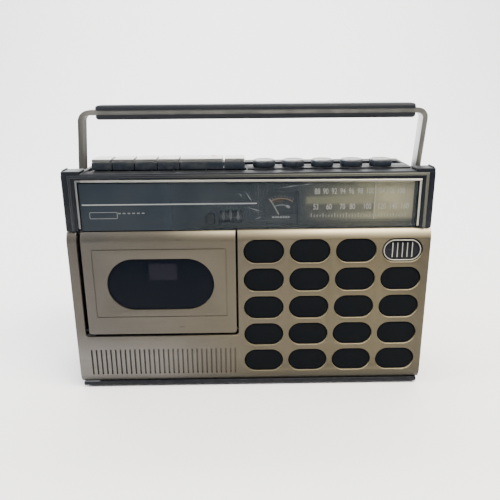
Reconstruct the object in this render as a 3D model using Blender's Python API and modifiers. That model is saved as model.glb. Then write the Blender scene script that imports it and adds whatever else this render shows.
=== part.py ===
"""Portable radio cassette recorder with a carrying handle.

X runs to the right of the front, Y from the front to the back and Z up. The origin is under
the middle of the case, on the surface that it stands on. Lengths in this script are in
millimetres, and MM turns them into Blender's metres where the meshes are made.
"""
import math

import bmesh
import bpy
from mathutils import Matrix, Vector

MM = 0.001

# Driving dimensions
CASE_WIDTH = 335.0
CASE_DEPTH = 96.0
CASE_TOP = 213.5
HANDLE_TOP = 271.0
WALL = 2.5
GAP = 0.3
HALF = CASE_WIDTH / 2
FRONT = -CASE_DEPTH / 2
BACK = CASE_DEPTH / 2

# Front: painted lower panel, black upper bezel
PANEL_BOTTOM = 7.0
PANEL_TOP = 160.5
PANEL_BACK = -36.0
EDGE_DROP = 4.0
TOP_CURVE = 10.0
BOTTOM_CURVE = 10.5
BEZEL_FRONT = -45.5
BEZEL_BACK = -27.5
BEZEL_BOTTOM = PANEL_TOP + GAP

# Cassette door and what is behind it
DOOR_LEFT = -155.0
DOOR_RIGHT = -13.0
DOOR_BOTTOM = 59.0
DOOR_TOP = PANEL_TOP - GAP
NOTCH_LEFT = -158.7
NOTCH_RIGHT = -11.0
NOTCH_BOTTOM = 56.0
HINGE_Y = -43.5
HINGE_Z = 61.5
WINDOW_LEFT = -133.6
WINDOW_RIGHT = -33.6
WINDOW_BOTTOM = 83.9
WINDOW_TOP = 134.7
CASSETTE_X = (WINDOW_LEFT + WINDOW_RIGHT) / 2
HUB_SPACING = 42.5
HUB_Z = 100.0
CAPSTAN_X = -57.0
CAPSTAN_Z = 126.5
MOTOR_X = -118.0
MOTOR_Z = 128.0

# Speaker grille: four columns and five rows of long holes
HOLE_FIRST_X = 13.1
HOLE_PITCH_X = 42.9
HOLE_FIRST_Z = 28.8
HOLE_PITCH_Z = 27.95
HOLE_WIDTH = 37.8
HOLE_HEIGHT = 23.0
COLUMNS = 4
ROWS = 5
SPEAKER_X = HOLE_FIRST_X + 1.5 * HOLE_PITCH_X
SPEAKER_Z = HOLE_FIRST_Z + 2 * HOLE_PITCH_Z

# Dial section
GLASS_HALF = 152.8
GLASS_BOTTOM = 161.2
GLASS_TOP = 206.0
GLASS_FRONT = -44.5
PLATE_FRONT = -41.3
PLATE_BACK = -40.0
METER_X = 29.8
METER_Z = 169.0
COUNTER_Y = -34.5
COUNTER_Z = 172.5
COUNTER_FIRST_X = -23.7
COUNTER_PITCH = 6.7
POINTER_X = 114.5

# Keys and knobs on the top
KEY_EDGES = (-144.6, -125.4, -104.8, -83.9, -63.3, -23.0, -2.9)
KEY_NAMES = (
    "pause_key", "stop_eject_key", "rewind_key", "fast_forward_key", "record_key", "play_key",
)
KEY_FRONT = -26.0
KEY_BACK = -2.0
KEY_TOP = 223.9
KEY_SHAFT_Y = 6.0
KEY_SHAFT_Z = 205.0
DECK_TOP = 211.2
DECK_STEP_TOP = 215.5
KNOB_NAMES = ("volume_knob", "tone_knob", "function_knob", "band_knob", "tuning_knob")
KNOB_FIRST_X = 14.5
KNOB_PITCH = 27.4
KNOB_Y = -15.0
KNOB_RADIUS = 10.6
KNOB_TOP = 221.2

# Raised ends of the bezel
END_TOP = 215.0
RIM_TOP = 217.3

# Handle
PIVOT_Y = -4.0
PIVOT_Z = 180.0
STRAP_WIDTH = 14.0
STRAP_THICK = 4.6
STRAP_OUT = 162.0
STRAP_Z = 264.5
LEAN_START = 190.0
LEAN = 5.5
GRIP_LEFT = -140.5
GRIP_RIGHT = 155.5
GRIP_BOTTOM = 258.0
REBATE_X = 153.5
REBATE_FRONT = -13.5
REBATE_BOTTOM = 165.0

# Battery compartment
BATTERY_LEFT = -136.0
BATTERY_RIGHT = 0.0
BATTERY_TOP = 48.3
BATTERY_DOOR_Y = 47.4
BATTERY_DOOR_Z = 7.9

# Telescopic antenna, folded along the back of the top
ANTENNA_X = 147.5
ANTENNA_Y = 43.0
ANTENNA_Z = 209.0

FINISHES = {
    "champagne_paint": ((0.22, 0.20, 0.16), 0.38, 0.7),
    "black_plastic": ((0.025, 0.030, 0.040), 0.45, 0.0),
    "smoked_glass": ((0.05, 0.06, 0.07), 0.12, 0.0),
    "bright_trim": ((0.45, 0.43, 0.38), 0.25, 1.0),
    "aluminium": ((0.42, 0.40, 0.35), 0.32, 1.0),
    "dial_gold": ((0.35, 0.32, 0.20), 0.45, 0.2),
    "steel": ((0.35, 0.35, 0.36), 0.35, 1.0),
    "grey_plastic": ((0.12, 0.12, 0.12), 0.5, 0.0),
    "white_plastic": ((0.75, 0.75, 0.72), 0.5, 0.0),
    "cream_plastic": ((0.72, 0.68, 0.50), 0.5, 0.0),
    "rubber": ((0.02, 0.02, 0.02), 0.8, 0.0),
    "brass": ((0.60, 0.42, 0.16), 0.3, 1.0),
    "paper_cone": ((0.04, 0.04, 0.04), 0.9, 0.0),
    "cloth": ((0.012, 0.014, 0.018), 0.95, 0.0),
    "board": ((0.25, 0.14, 0.05), 0.6, 0.0),
    "ferrite": ((0.03, 0.03, 0.03), 0.6, 0.0),
}

AXIS_TURN = {
    "X": Matrix.Rotation(math.pi / 2, 4, "Y"),
    "Y": Matrix.Rotation(-math.pi / 2, 4, "X"),
    "Z": Matrix.Identity(4),
}
PLANE_TURN = {
    "XY": Matrix.Identity(4),
    "XZ": Matrix.Rotation(math.pi / 2, 4, "X"),
    "YZ": Matrix(((0, 0, 1, 0), (1, 0, 0, 0), (0, 1, 0, 0), (0, 0, 0, 1))),
}
PLANE_NORMAL = {"XY": 2, "XZ": 1, "YZ": 0}


# ---------------------------------------------------------------- tools

def clear_scene():
    for obj in list(bpy.data.objects):
        bpy.data.objects.remove(obj, do_unlink=True)


def new_collection(name):
    collection = bpy.data.collections.new(name)
    bpy.context.scene.collection.children.link(collection)
    return collection


def paint(obj, finish):
    colour, roughness, metallic = FINISHES[finish]
    material = bpy.data.materials.new(obj.name)
    material.use_nodes = True
    shader = material.node_tree.nodes["Principled BSDF"]
    shader.inputs["Base Color"].default_value = (*colour, 1.0)
    shader.inputs["Roughness"].default_value = roughness
    shader.inputs["Metallic"].default_value = metallic
    obj.data.materials.clear()
    obj.data.materials.append(material)


def settle(obj, finish):
    """Puts a piece with its finish among the parts, or a shape without one among the cutters."""
    for collection in list(obj.users_collection):
        collection.objects.unlink(obj)
    if finish is None:
        CUTTERS.objects.link(obj)
        obj.hide_render = True
        obj.display_type = "WIRE"
    else:
        PARTS.objects.link(obj)
        paint(obj, finish)
    return obj


def smooth(obj):
    obj.data.shade_smooth()
    obj.data.set_sharp_from_angle(angle=math.radians(35))


def box(name, low, high, finish=None, edge=0.0):
    low = Vector(low)
    high = Vector(high)
    bpy.ops.mesh.primitive_cube_add(size=1.0)
    obj = bpy.context.object
    obj.name = name
    size = (high - low) * MM
    obj.data.transform(Matrix.Diagonal((*size, 1.0)))
    obj.location = (low + high) / 2 * MM
    if edge:
        bevel = obj.modifiers.new("Rounded edges", "BEVEL")
        bevel.width = edge * MM
        bevel.segments = 2
    return settle(obj, finish)


def rod(name, start, length, radius, axis, finish=None, sides=24):
    """A cylinder that starts at a point and runs along +X, +Y or +Z."""
    bpy.ops.mesh.primitive_cylinder_add(vertices=sides, radius=radius * MM, depth=length * MM)
    obj = bpy.context.object
    obj.name = name
    obj.data.transform(AXIS_TURN[axis])
    obj.location = Vector(start) * MM
    obj.location["XYZ".index(axis)] += length / 2 * MM
    smooth(obj)
    return settle(obj, finish)


def turned(name, profile, base, axis, finish=None, steps=32, ring=False):
    """A turned shape: (radius, height) pairs from top to bottom, heights along the axis."""
    mesh = bpy.data.meshes.new(name)
    points = [(radius * MM, 0.0, height * MM) for radius, height in profile]
    edges = [(i, i + 1) for i in range(len(points) - 1)]
    if ring:
        edges.append((len(points) - 1, 0))
    mesh.from_pydata(points, edges, [])
    obj = bpy.data.objects.new(name, mesh)
    obj.matrix_world = Matrix.Translation(Vector(base) * MM) @ AXIS_TURN[axis]
    screw = obj.modifiers.new("Turn", "SCREW")
    screw.steps = steps
    screw.render_steps = steps
    screw.use_merge_vertices = True
    screw.merge_threshold = 0.00001
    screw.use_smooth_shade = False
    return settle(obj, finish)


def outline(name, loops, plane, start, end, finish=None):
    """A flat outline with its holes, given thickness from start to end along the normal."""
    curve = bpy.data.curves.new(name, "CURVE")
    curve.dimensions = "2D"
    curve.fill_mode = "BOTH"
    curve.extrude = abs(end - start) / 2 * MM
    for loop in loops:
        spline = curve.splines.new("POLY")
        spline.points.add(len(loop) - 1)
        spline.use_cyclic_u = True
        for point, (u, v) in zip(spline.points, loop):
            point.co = (u * MM, v * MM, 0.0, 1.0)
    guide = bpy.data.objects.new(name, curve)
    bpy.context.scene.collection.objects.link(guide)
    depsgraph = bpy.context.evaluated_depsgraph_get()
    mesh = bpy.data.meshes.new_from_object(guide.evaluated_get(depsgraph))
    bpy.data.objects.remove(guide)
    mesh.transform(PLANE_TURN[plane])
    cage = bmesh.new()
    cage.from_mesh(mesh)
    bmesh.ops.remove_doubles(cage, verts=cage.verts, dist=0.000001)
    bmesh.ops.recalc_face_normals(cage, faces=cage.faces)
    cage.to_mesh(mesh)
    cage.free()
    obj = bpy.data.objects.new(name, mesh)
    obj.location[PLANE_NORMAL[plane]] = (start + end) / 2 * MM
    return settle(obj, finish)


def combine(target, others, operation):
    for other in others:
        modifier = target.modifiers.new(operation.title(), "BOOLEAN")
        modifier.operation = operation
        modifier.solver = "EXACT"
        modifier.object = other
    return target


def carve(target, *cutters):
    return combine(target, cutters, "DIFFERENCE")


def fuse(target, *pieces):
    return combine(target, pieces, "UNION")


def hang(point, name, *pieces):
    """Parents the pieces of a moving body to an empty on its joint's axis."""
    pivot = bpy.data.objects.new(name, None)
    pivot.location = Vector(point) * MM
    pivot.empty_display_size = 0.01
    PARTS.objects.link(pivot)
    for piece in pieces:
        piece.parent = pivot
        piece.matrix_parent_inverse = Matrix.Translation(-pivot.location)


# ---------------------------------------------------------------- outlines

def arc(centre_u, centre_v, radius, first, last, steps=6):
    """Points of a round stretch, between two angles in degrees."""
    points = []
    for i in range(steps + 1):
        angle = math.radians(first + (last - first) * i / steps)
        points.append((centre_u + radius * math.cos(angle), centre_v + radius * math.sin(angle)))
    return points


def rounded(left, bottom, right, top, radius, steps=4):
    points = arc(right - radius, top - radius, radius, 0, 90, steps)
    points += arc(left + radius, top - radius, radius, 90, 180, steps)
    points += arc(left + radius, bottom + radius, radius, 180, 270, steps)
    points += arc(right - radius, bottom + radius, radius, 270, 360, steps)
    return points


def stadium(left, bottom, right, top, steps=10):
    """A long hole: straight sides between two half circles."""
    radius = (top - bottom) / 2
    middle = (top + bottom) / 2
    points = arc(right - radius, middle, radius, -90, 90, steps)
    return points + arc(left + radius, middle, radius, 90, 270, steps)


def grille_hole(column, row):
    """The box of one long grille hole; row 0 is the lowest."""
    x = HOLE_FIRST_X + column * HOLE_PITCH_X
    z = HOLE_FIRST_Z + row * HOLE_PITCH_Z
    return x - HOLE_WIDTH / 2, z - HOLE_HEIGHT / 2, x + HOLE_WIDTH / 2, z + HOLE_HEIGHT / 2


def front_curve(height):
    """The radius of an edge that falls back EDGE_DROP over a height, and its angle."""
    radius = (EDGE_DROP ** 2 + height ** 2) / (2 * EDGE_DROP)
    return radius, math.degrees(math.asin(height / radius))


def belt_loop(x1, z1, r1, x2, z2, r2, spare):
    """The outline of a belt around two round pulleys, the first on the right."""
    r1 += spare
    r2 += spare
    heading = math.degrees(math.atan2(z1 - z2, x1 - x2))
    spread = math.degrees(math.acos((r1 - r2) / math.hypot(x1 - x2, z1 - z2)))
    turn = 180 - spread
    points = arc(x1, z1, r1, heading - turn, heading + turn, 20)
    return points + arc(x2, z2, r2, heading + turn, heading + 360 - turn, 8)


# ---------------------------------------------------------------- casing

def front_panel():
    top_radius, top_angle = front_curve(TOP_CURVE)
    low_radius, low_angle = front_curve(BOTTOM_CURVE)
    side = [(PANEL_BACK, PANEL_BOTTOM), (PANEL_BACK, PANEL_TOP)]
    side += arc(FRONT + top_radius, PANEL_TOP - TOP_CURVE, top_radius, 180 - top_angle, 180, 4)
    side += arc(FRONT + low_radius, PANEL_BOTTOM + BOTTOM_CURVE, low_radius, 180, 180 + low_angle, 4)
    panel = outline("front_panel", [side], "YZ", -HALF, HALF, "champagne_paint")
    hollow = box("cut_panel_hollow", (-HALF + WALL, FRONT + WALL, 12), (HALF - WALL, 0, 155.5))
    notch = box("cut_door_opening", (NOTCH_LEFT, -60, NOTCH_BOTTOM), (NOTCH_RIGHT, 0, 170))
    loops = [stadium(*grille_hole(column, row)) for column in range(COLUMNS) for row in range(ROWS)]
    holes = outline("cut_grille_holes", loops, "XZ", -60, -40)
    carve(panel, hollow, notch, holes)


def rear_cabinet():
    front = PANEL_BACK + GAP
    cabinet = box("rear_cabinet", (-HALF, front, 2), (HALF, BACK, CASE_TOP), "black_plastic", edge=1.5)
    lower = box("cut_cabinet_low", (-HALF + WALL, front - 5, 4.5), (HALF - WALL, BACK - WALL, 162.5))
    inner = REBATE_X - WALL
    upper = box("cut_cabinet_high", (-inner, front - 5, 162), (inner, BACK - WALL, 200.5))
    loft = box("cut_cabinet_loft", (-inner, front - 5, 200), (inner, 35.2, CASE_TOP - WALL))
    bezel_room = box("cut_bezel_room", (-HALF - 5, front - 5, PANEL_TOP), (HALF + 5, BEZEL_BACK + GAP, 220))
    left = box("cut_rebate_left", (-HALF - 5, REBATE_FRONT, REBATE_BOTTOM), (-REBATE_X, BACK + 5, 220))
    right = box("cut_rebate_right", (REBATE_X, REBATE_FRONT, REBATE_BOTTOM), (HALF + 5, BACK + 5, 220))
    deck_room = box("cut_deck_room", (-149.7, -30, 205), (149.7, 21, 220))
    groove = box("cut_antenna_groove", (-155, 37.7, 203), (HALF, BACK + 5, 220))
    battery = box("cut_battery_opening", (BATTERY_LEFT, 40, 6.8), (BATTERY_RIGHT, 60, 48))
    inlet = box("cut_inlet_opening", (59.7, 40, 13.7), (82.3, 60, 28.3))
    pivots = rod("cut_pivot_holes", (-HALF, PIVOT_Y, PIVOT_Z), CASE_WIDTH, 2.5, "X")
    carve(cabinet, lower, upper, loft, bezel_room, left, right, deck_room, groove, battery, inlet)
    boss_left = rod("add_boss_left", (-157.1, PIVOT_Y, PIVOT_Z), 5, 6, "X", sides=24)
    boss_right = rod("add_boss_right", (152.1, PIVOT_Y, PIVOT_Z), 5, 6, "X", sides=24)
    fuse(cabinet, boss_left, boss_right)
    carve(cabinet, pivots)
    lip_low = (-HALF + 1.5, BEZEL_FRONT - 0.5, 2.2)
    lip_high = (HALF - 1.5, front + 5, PANEL_BOTTOM - GAP)
    fuse(cabinet, box("add_base_lip", lip_low, lip_high))
    for x in (-140, 140):
        for y in (-34, 36):
            foot = box("add_foot", (x - 11, y - 6, 0), (x + 11, y + 6, 3.5))
            fuse(cabinet, foot)


def dial_bezel():
    low = (-HALF, BEZEL_FRONT, BEZEL_BOTTOM)
    bezel = box("dial_bezel", low, (HALF, BEZEL_BACK, CASE_TOP), "black_plastic", edge=1.5)
    for name, left, right in (("left", -HALF + 0.4, -150.2), ("right", 150.2, HALF - 0.4)):
        block_low = (left, BEZEL_FRONT + 0.4, 211.6)
        end = box("add_end_block_" + name, block_low, (right, BEZEL_BACK - 0.4, END_TOP), edge=0.8)
        fuse(bezel, end)
    for name, left, right in (("left", -HALF + 1.0, -164.6), ("right", 164.6, HALF - 1.0)):
        rim_low = (left, BEZEL_FRONT + 1.7, 213.2)
        rim = box("add_end_rim_" + name, rim_low, (right, BEZEL_BACK - 1.5, RIM_TOP), edge=0.6)
        fuse(bezel, rim)
    hollow = box("cut_bezel_hollow", (-164.5, -43, 150), (164.5, 0, CASE_TOP - WALL))
    opening = box("cut_bezel_opening", (-156, -60, 150), (156, -40, 209.2))
    carve(bezel, hollow, opening)


def dial_trim():
    left, right, top, low = -155.7, 155.7, 208.9, 163.5
    inner = GLASS_HALF + GAP
    loop = [(left, low), (left, top), (right, top), (right, low)]
    loop += [(inner, low), (inner, GLASS_TOP + GAP), (-inner, GLASS_TOP + GAP), (-inner, low)]
    outline("dial_trim", [loop], "XZ", -45.8, -43.4, "bright_trim")


def dial_glass():
    sheet = [(-GLASS_HALF, GLASS_BOTTOM), (GLASS_HALF, GLASS_BOTTOM)]
    sheet += [(GLASS_HALF, GLASS_TOP), (-GLASS_HALF, GLASS_TOP)]
    hole = rounded(-39.4, 166, -31.6, 176, 2.5)
    outline("dial_glass", [sheet, hole], "XZ", GLASS_FRONT, GLASS_FRONT + 1.5, "smoked_glass")


def dial_scale_plate():
    sheet = [(-152.5, 162), (152.5, 162), (152.5, 206), (-152.5, 206)]
    meter = rounded(15.5, 164.5, 45.5, 196, 1)
    counter = rounded(-28, 166.5, -6, 178.5, 1)
    button = rounded(-40, 165.4, -31, 176.6, 2.5)
    outline("dial_scale_plate", [sheet, meter, counter, button], "XZ", PLATE_FRONT, PLATE_BACK, "dial_gold")


def dial_pointer():
    blade = [(-42.4, 169), (-41.8, 169), (-41.8, 206.4), (-37, 206.4), (-37, 208), (-42.4, 208)]
    pointer = outline("dial_pointer", [blade], "YZ", POINTER_X - 0.5, POINTER_X + 0.5, "cream_plastic")
    hang((POINTER_X, -42, 190), "pointer_slide", pointer)


def signal_meter():
    meter = box("signal_meter", (14.5, -39.7, 163.5), (46.5, -29, 197), "white_plastic")
    carve(meter, box("cut_meter_face", (16, -45, 165), (45, -34, 195.5)))
    lean = math.radians(29.2)
    reach = Vector((-math.sin(lean), math.cos(lean)))
    side = Vector((reach.y, -reach.x)) * 0.4
    pivot = Vector((METER_X, METER_Z))
    tip = pivot + reach * 22
    corners = [pivot + side, pivot - side, tip - side * 0.5, tip + side * 0.5]
    loop = [tuple(corner) for corner in corners]
    needle = outline("meter_needle", [loop], "XZ", -38, -37.4, "cream_plastic")
    fuse(needle, rod("add_needle_hub", (METER_X, -38.4, METER_Z), 3.6, 1.5, "Y", sides=16))
    hang((METER_X, -38, METER_Z), "needle_axis", needle)


def tape_counter():
    housing = box("counter_housing", (-29, -39.7, 165.5), (-5, -26, 179.5), "black_plastic")
    carve(housing, box("cut_counter_room", (-27.6, -45, 167), (-6.4, -28.5, 178)))
    fuse(housing, rod("add_counter_axle", (-28.5, COUNTER_Y, COUNTER_Z), 23, 0.8, "X", sides=12))
    for i, name in enumerate(("counter_drum_hundreds", "counter_drum_tens", "counter_drum_units")):
        x = COUNTER_FIRST_X + i * COUNTER_PITCH
        profile = [(1.1, 3.1), (5.0, 3.1), (5.0, -3.1), (1.1, -3.1)]
        drum = turned(name, profile, (x, COUNTER_Y, COUNTER_Z), "X", "white_plastic", steps=20, ring=True)
        hang((x, COUNTER_Y, COUNTER_Z), name + "_axis", drum)
    loop = rounded(-39.1, 166.3, -31.9, 175.7, 2.2)
    button = outline("counter_reset_button", [loop], "XZ", -45.3, -36, "black_plastic")
    hang((-35.5, -40, 171), "reset_slide", button)


# ---------------------------------------------------------------- top: deck, keys, knobs

def top_deck():
    deck = box("top_deck", (-149.4, -27, 209), (149.4, 20.7, DECK_TOP), "black_plastic")
    step = box("add_deck_step", (-1, -27, 209), (149.4, -3, DECK_STEP_TOP), edge=0.8)
    key_room = box("cut_key_room", (-145.6, -30, 200), (-1.9, -1.5, 220))
    fuse(deck, step)
    carve(deck, key_room)
    for x in (-148.2, 0.4):
        lug = box("add_shaft_lug", (x, 2, 200), (x + 2.6, 10, 210))
        fuse(deck, lug)
    carve(deck, rod("cut_shaft_hole", (-150, KEY_SHAFT_Y, KEY_SHAFT_Z), 156, 1.8, "X", sides=16))
    for i in range(len(KNOB_NAMES)):
        start = (KNOB_FIRST_X + i * KNOB_PITCH, KNOB_Y, 200)
        carve(deck, rod("cut_knob_hole", start, 20, 3.2, "Z", sides=16))
    rod("key_shaft", (-148.6, KEY_SHAFT_Y, KEY_SHAFT_Z), 152, 1.5, "X", "steel", sides=16)


def piano_keys():
    for name, left, right in zip(KEY_NAMES, KEY_EDGES, KEY_EDGES[1:]):
        low = (left + 0.5, KEY_FRONT, 213.9)
        key = box(name, low, (right - 0.5, KEY_BACK, KEY_TOP), "bright_trim", edge=0.6)
        middle = (left + right) / 2
        post = box("add_key_post", (middle - 3, -20, 204), (middle + 3, -6, 216))
        arm = box("add_key_arm", (middle - 3, -20, 202), (middle + 3, 9.5, 208))
        fuse(key, post, arm)
        carve(key, rod("cut_key_bore", (middle - 5, KEY_SHAFT_Y, KEY_SHAFT_Z), 10, 1.8, "X", sides=16))
        hang((middle, KEY_SHAFT_Y, KEY_SHAFT_Z), name + "_axis", key)


def knobs():
    base = DECK_STEP_TOP + GAP
    for i, name in enumerate(KNOB_NAMES):
        x = KNOB_FIRST_X + i * KNOB_PITCH
        profile = [(0, KNOB_TOP), (KNOB_RADIUS - 0.8, KNOB_TOP), (KNOB_RADIUS, KNOB_TOP - 0.8)]
        profile += [(KNOB_RADIUS, base), (2.8, base), (2.8, 201), (0, 201)]
        knob = turned(name, profile, (x, KNOB_Y, 0), "Z", "aluminium", steps=24)
        hang((x, KNOB_Y, base), name + "_axis", knob)


# ---------------------------------------------------------------- handle

def lean(x, z):
    """The strap stands upright at its feet and leans a little to the right above them."""
    share = max(0.0, z - LEAN_START) / (STRAP_Z - LEAN_START)
    return x + LEAN * share, z


def handle():
    out = STRAP_OUT
    inner = STRAP_OUT - STRAP_THICK
    top = STRAP_Z + STRAP_THICK / 2
    low = STRAP_Z - STRAP_THICK / 2
    loop = [(out, PIVOT_Z), (out, LEAN_START)] + arc(out - 10, top - 10, 10, 0, 90, 5)
    loop += arc(-out + 10, top - 10, 10, 90, 180, 5) + [(-out, LEAN_START), (-out, PIVOT_Z)]
    loop += [(-inner, PIVOT_Z), (-inner, LEAN_START)] + arc(-inner + 5, low - 5, 5, 180, 90, 5)
    loop += arc(inner - 5, low - 5, 5, 90, 0, 5) + [(inner, LEAN_START), (inner, PIVOT_Z)]
    loop = [lean(x, z) for x, z in loop]
    half = STRAP_WIDTH / 2
    strap = outline("handle_strap", [loop], "XZ", PIVOT_Y - half, PIVOT_Y + half, "aluminium")
    for x in (-STRAP_OUT, inner):
        eye = rod("add_strap_eye", (x, PIVOT_Y, PIVOT_Z), STRAP_THICK, half + 0.01, "X")
        fuse(strap, eye)
    carve(strap, rod("cut_strap_bore", (-HALF - 2, PIVOT_Y, PIVOT_Z), CASE_WIDTH + 4, 2.5, "X"))
    grip_low = (GRIP_LEFT, -11.8, GRIP_BOTTOM)
    grip = box("handle_grip", grip_low, (GRIP_RIGHT, 5.6, HANDLE_TOP), "rubber", edge=2.5)
    slot_low = (GRIP_LEFT - 9, -20, low - GAP)
    slot = box("cut_grip_slot", slot_low, (GRIP_RIGHT + 9, PIVOT_Y + half + GAP, top + GAP))
    carve(grip, slot)
    hang((0, PIVOT_Y, PIVOT_Z), "handle_axis", strap, grip)
    for name, side in (("handle_pivot_left", -1), ("handle_pivot_right", 1)):
        profile = [(0, 11.4), (4.5, 11.4), (5.5, 10.8), (5.5, 10.0), (2.2, 10.0), (2.2, 0), (0, 0)]
        screw = turned(name, profile, (152.4 * side, PIVOT_Y, PIVOT_Z), "X", "steel", steps=20)
        if side < 0:
            screw.matrix_world = screw.matrix_world @ Matrix.Rotation(math.pi, 4, "Y")


# ---------------------------------------------------------------- cassette door and mechanism

def cassette_door():
    radius, angle = front_curve(TOP_CURVE)
    side = [(FRONT, DOOR_BOTTOM)]
    side += arc(FRONT + radius, PANEL_TOP - TOP_CURVE, radius, 180, 180 - angle + 1.5, 4)
    side += [(-42.3, DOOR_TOP)]
    inner = radius - WALL
    side += arc(FRONT + radius, PANEL_TOP - TOP_CURVE, inner, 180 - angle, 180, 4)
    side += [(FRONT + WALL, DOOR_BOTTOM)]
    door = outline("cassette_door", [side], "YZ", DOOR_LEFT, DOOR_RIGHT, "champagne_paint")
    opening = stadium(WINDOW_LEFT, WINDOW_BOTTOM, WINDOW_RIGHT, WINDOW_TOP, 14)
    carve(door, outline("cut_door_window", [opening], "XZ", -60, -40))
    for x in (-150, -22):
        fuse(door, box("add_hinge_lug", (x, -46, DOOR_BOTTOM + 0.3), (x + 4, -41.4, 63.8)))
    carve(door, rod("cut_hinge_bore", (-170, HINGE_Y, HINGE_Z), 170, 1.5, "X", sides=16))
    pane_loop = stadium(WINDOW_LEFT + GAP, WINDOW_BOTTOM + GAP, WINDOW_RIGHT - GAP, WINDOW_TOP - GAP, 14)
    pane = outline("door_window", [pane_loop], "XZ", -47.0, -45.7, "smoked_glass")
    holder = box("cassette_holder", (-137.5, -45.2, 64.5), (-29.7, -30, 128), "black_plastic")
    pocket = box("cut_holder_pocket", (-135.5, -43.7, 66.5), (-31.7, -31.5, 140))
    back = box("cut_holder_back", (-128, -40, 75), (-39, -20, 140))
    face = box("cut_holder_face", (-131, -60, 80), (-36, -40, 140))
    carve(holder, pocket, back, face)
    hang((CASSETTE_X, HINGE_Y, HINGE_Z), "door_axis", door, pane, holder)
    rod("door_hinge_pin", (-161, HINGE_Y, HINGE_Z), 152.3, 1.2, "X", "steel", sides=16)


def cassette_well():
    well = box("cassette_well", (-161, -45.2, 53.7), (-8.7, -25, 160.2), "black_plastic")
    room = box("cut_well_room", (NOTCH_LEFT, -60, NOTCH_BOTTOM), (NOTCH_RIGHT, -27.5, 157.8))
    brow = box("cut_well_brow", (NOTCH_LEFT, -60, 150), (NOTCH_RIGHT, -41.9, 170))
    left = box("cut_well_left", (-170, -60, 155.2), (NOTCH_LEFT + GAP, PANEL_BACK + GAP, 170))
    right = box("cut_well_right", (NOTCH_RIGHT - GAP, -60, 155.2), (0, PANEL_BACK + GAP, 170))
    heads = box("cut_head_opening", (-125, -60, 131), (-45, -20, 150))
    capstan = rod("cut_capstan_hole", (CAPSTAN_X, -40, CAPSTAN_Z), 20, 3, "Y")
    pin = rod("cut_pin_holes", (-170, HINGE_Y, HINGE_Z), 170, 1.5, "X", sides=16)
    carve(well, room, brow, left, right, heads, capstan, pin)
    chassis = box("mechanism_chassis", (-152, -24.5, 60), (-18, -23, 155), "steel")
    carve(chassis, rod("cut_chassis_capstan", (CAPSTAN_X, -30, CAPSTAN_Z), 10, 3, "Y"))
    for side, name in ((-0.5, "supply_spindle"), (0.5, "takeup_spindle")):
        x = CASSETTE_X + side * HUB_SPACING
        carve(well, rod("cut_well_spindle", (x, -30, HUB_Z), 10, 4.5, "Y"))
        carve(chassis, rod("cut_chassis_spindle", (x, -30, HUB_Z), 10, 4.5, "Y"))
        profile = [(0, 18), (13, 18), (13, 16), (3.4, 16), (3.4, 3), (2.4, 0), (0, 0)]
        spindle = turned(name, profile, (x, -38, HUB_Z), "Y", "grey_plastic", steps=24)
        for angle in (0, 60, 120):
            fin = box("add_spindle_fin", (-4.2, -36, -0.6), (4.2, -30, 0.6))
            fin.location = Vector((x, -33, HUB_Z)) * MM
            fin.rotation_euler.y = math.radians(angle)
            fuse(spindle, fin)
        hang((x, -38, HUB_Z), name + "_axis", spindle)


def tape_drive():
    profile = [(0, 26), (1.2, 26), (1.2, 24), (26, 24), (26, 18), (1.2, 18), (1.2, 0), (0, 0)]
    flywheel = turned("capstan_flywheel", profile, (CAPSTAN_X, -36, CAPSTAN_Z), "Y", "brass", steps=40)
    hang((CAPSTAN_X, -36, CAPSTAN_Z), "capstan_axis", flywheel)
    rod("tape_motor", (MOTOR_X, -11, MOTOR_Z), 25, 14, "Y", "steel", sides=32)
    profile = [(0, 6), (4.5, 6), (4.5, 0), (0, 0)]
    pulley = turned("motor_pulley", profile, (MOTOR_X, -18, MOTOR_Z), "Y", "brass", steps=24)
    hang((MOTOR_X, -18, MOTOR_Z), "pulley_axis", pulley)
    inner = belt_loop(CAPSTAN_X, CAPSTAN_Z, 26, MOTOR_X, MOTOR_Z, 4.5, 0.3)
    outer = belt_loop(CAPSTAN_X, CAPSTAN_Z, 26, MOTOR_X, MOTOR_Z, 4.5, 1.4)
    outline("drive_belt", [outer, inner], "XZ", -16.4, -13.6, "rubber")


def head_assembly():
    plate = box("head_plate", (-120, -29.6, 134), (-47, -28, 156), "steel")
    erase = box("add_erase_head", (-109, -40, 135), (-101, -29, 142), edge=0.8)
    post = rod("add_roller_post", (CAPSTAN_X, -40.5, 139), 12, 1.2, "Y", sides=16)
    fuse(plate, erase, post)
    low = (CASSETTE_X - 6.5, -41, 135)
    head = box("record_play_head", low, (CASSETTE_X + 6.5, -29.9, 146), "steel", edge=1.5)
    profile = [(1.5, 6), (6.0, 6), (6.0, 0), (1.5, 0)]
    roller = turned("pinch_roller", profile, (CAPSTAN_X, -39, 139), "Y", "rubber", steps=24, ring=True)
    hang((CASSETTE_X, -29, 145), "head_slide", plate, head)
    hang((CAPSTAN_X, -39, 139), "roller_axis", roller)


# ---------------------------------------------------------------- speaker and microphone

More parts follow.
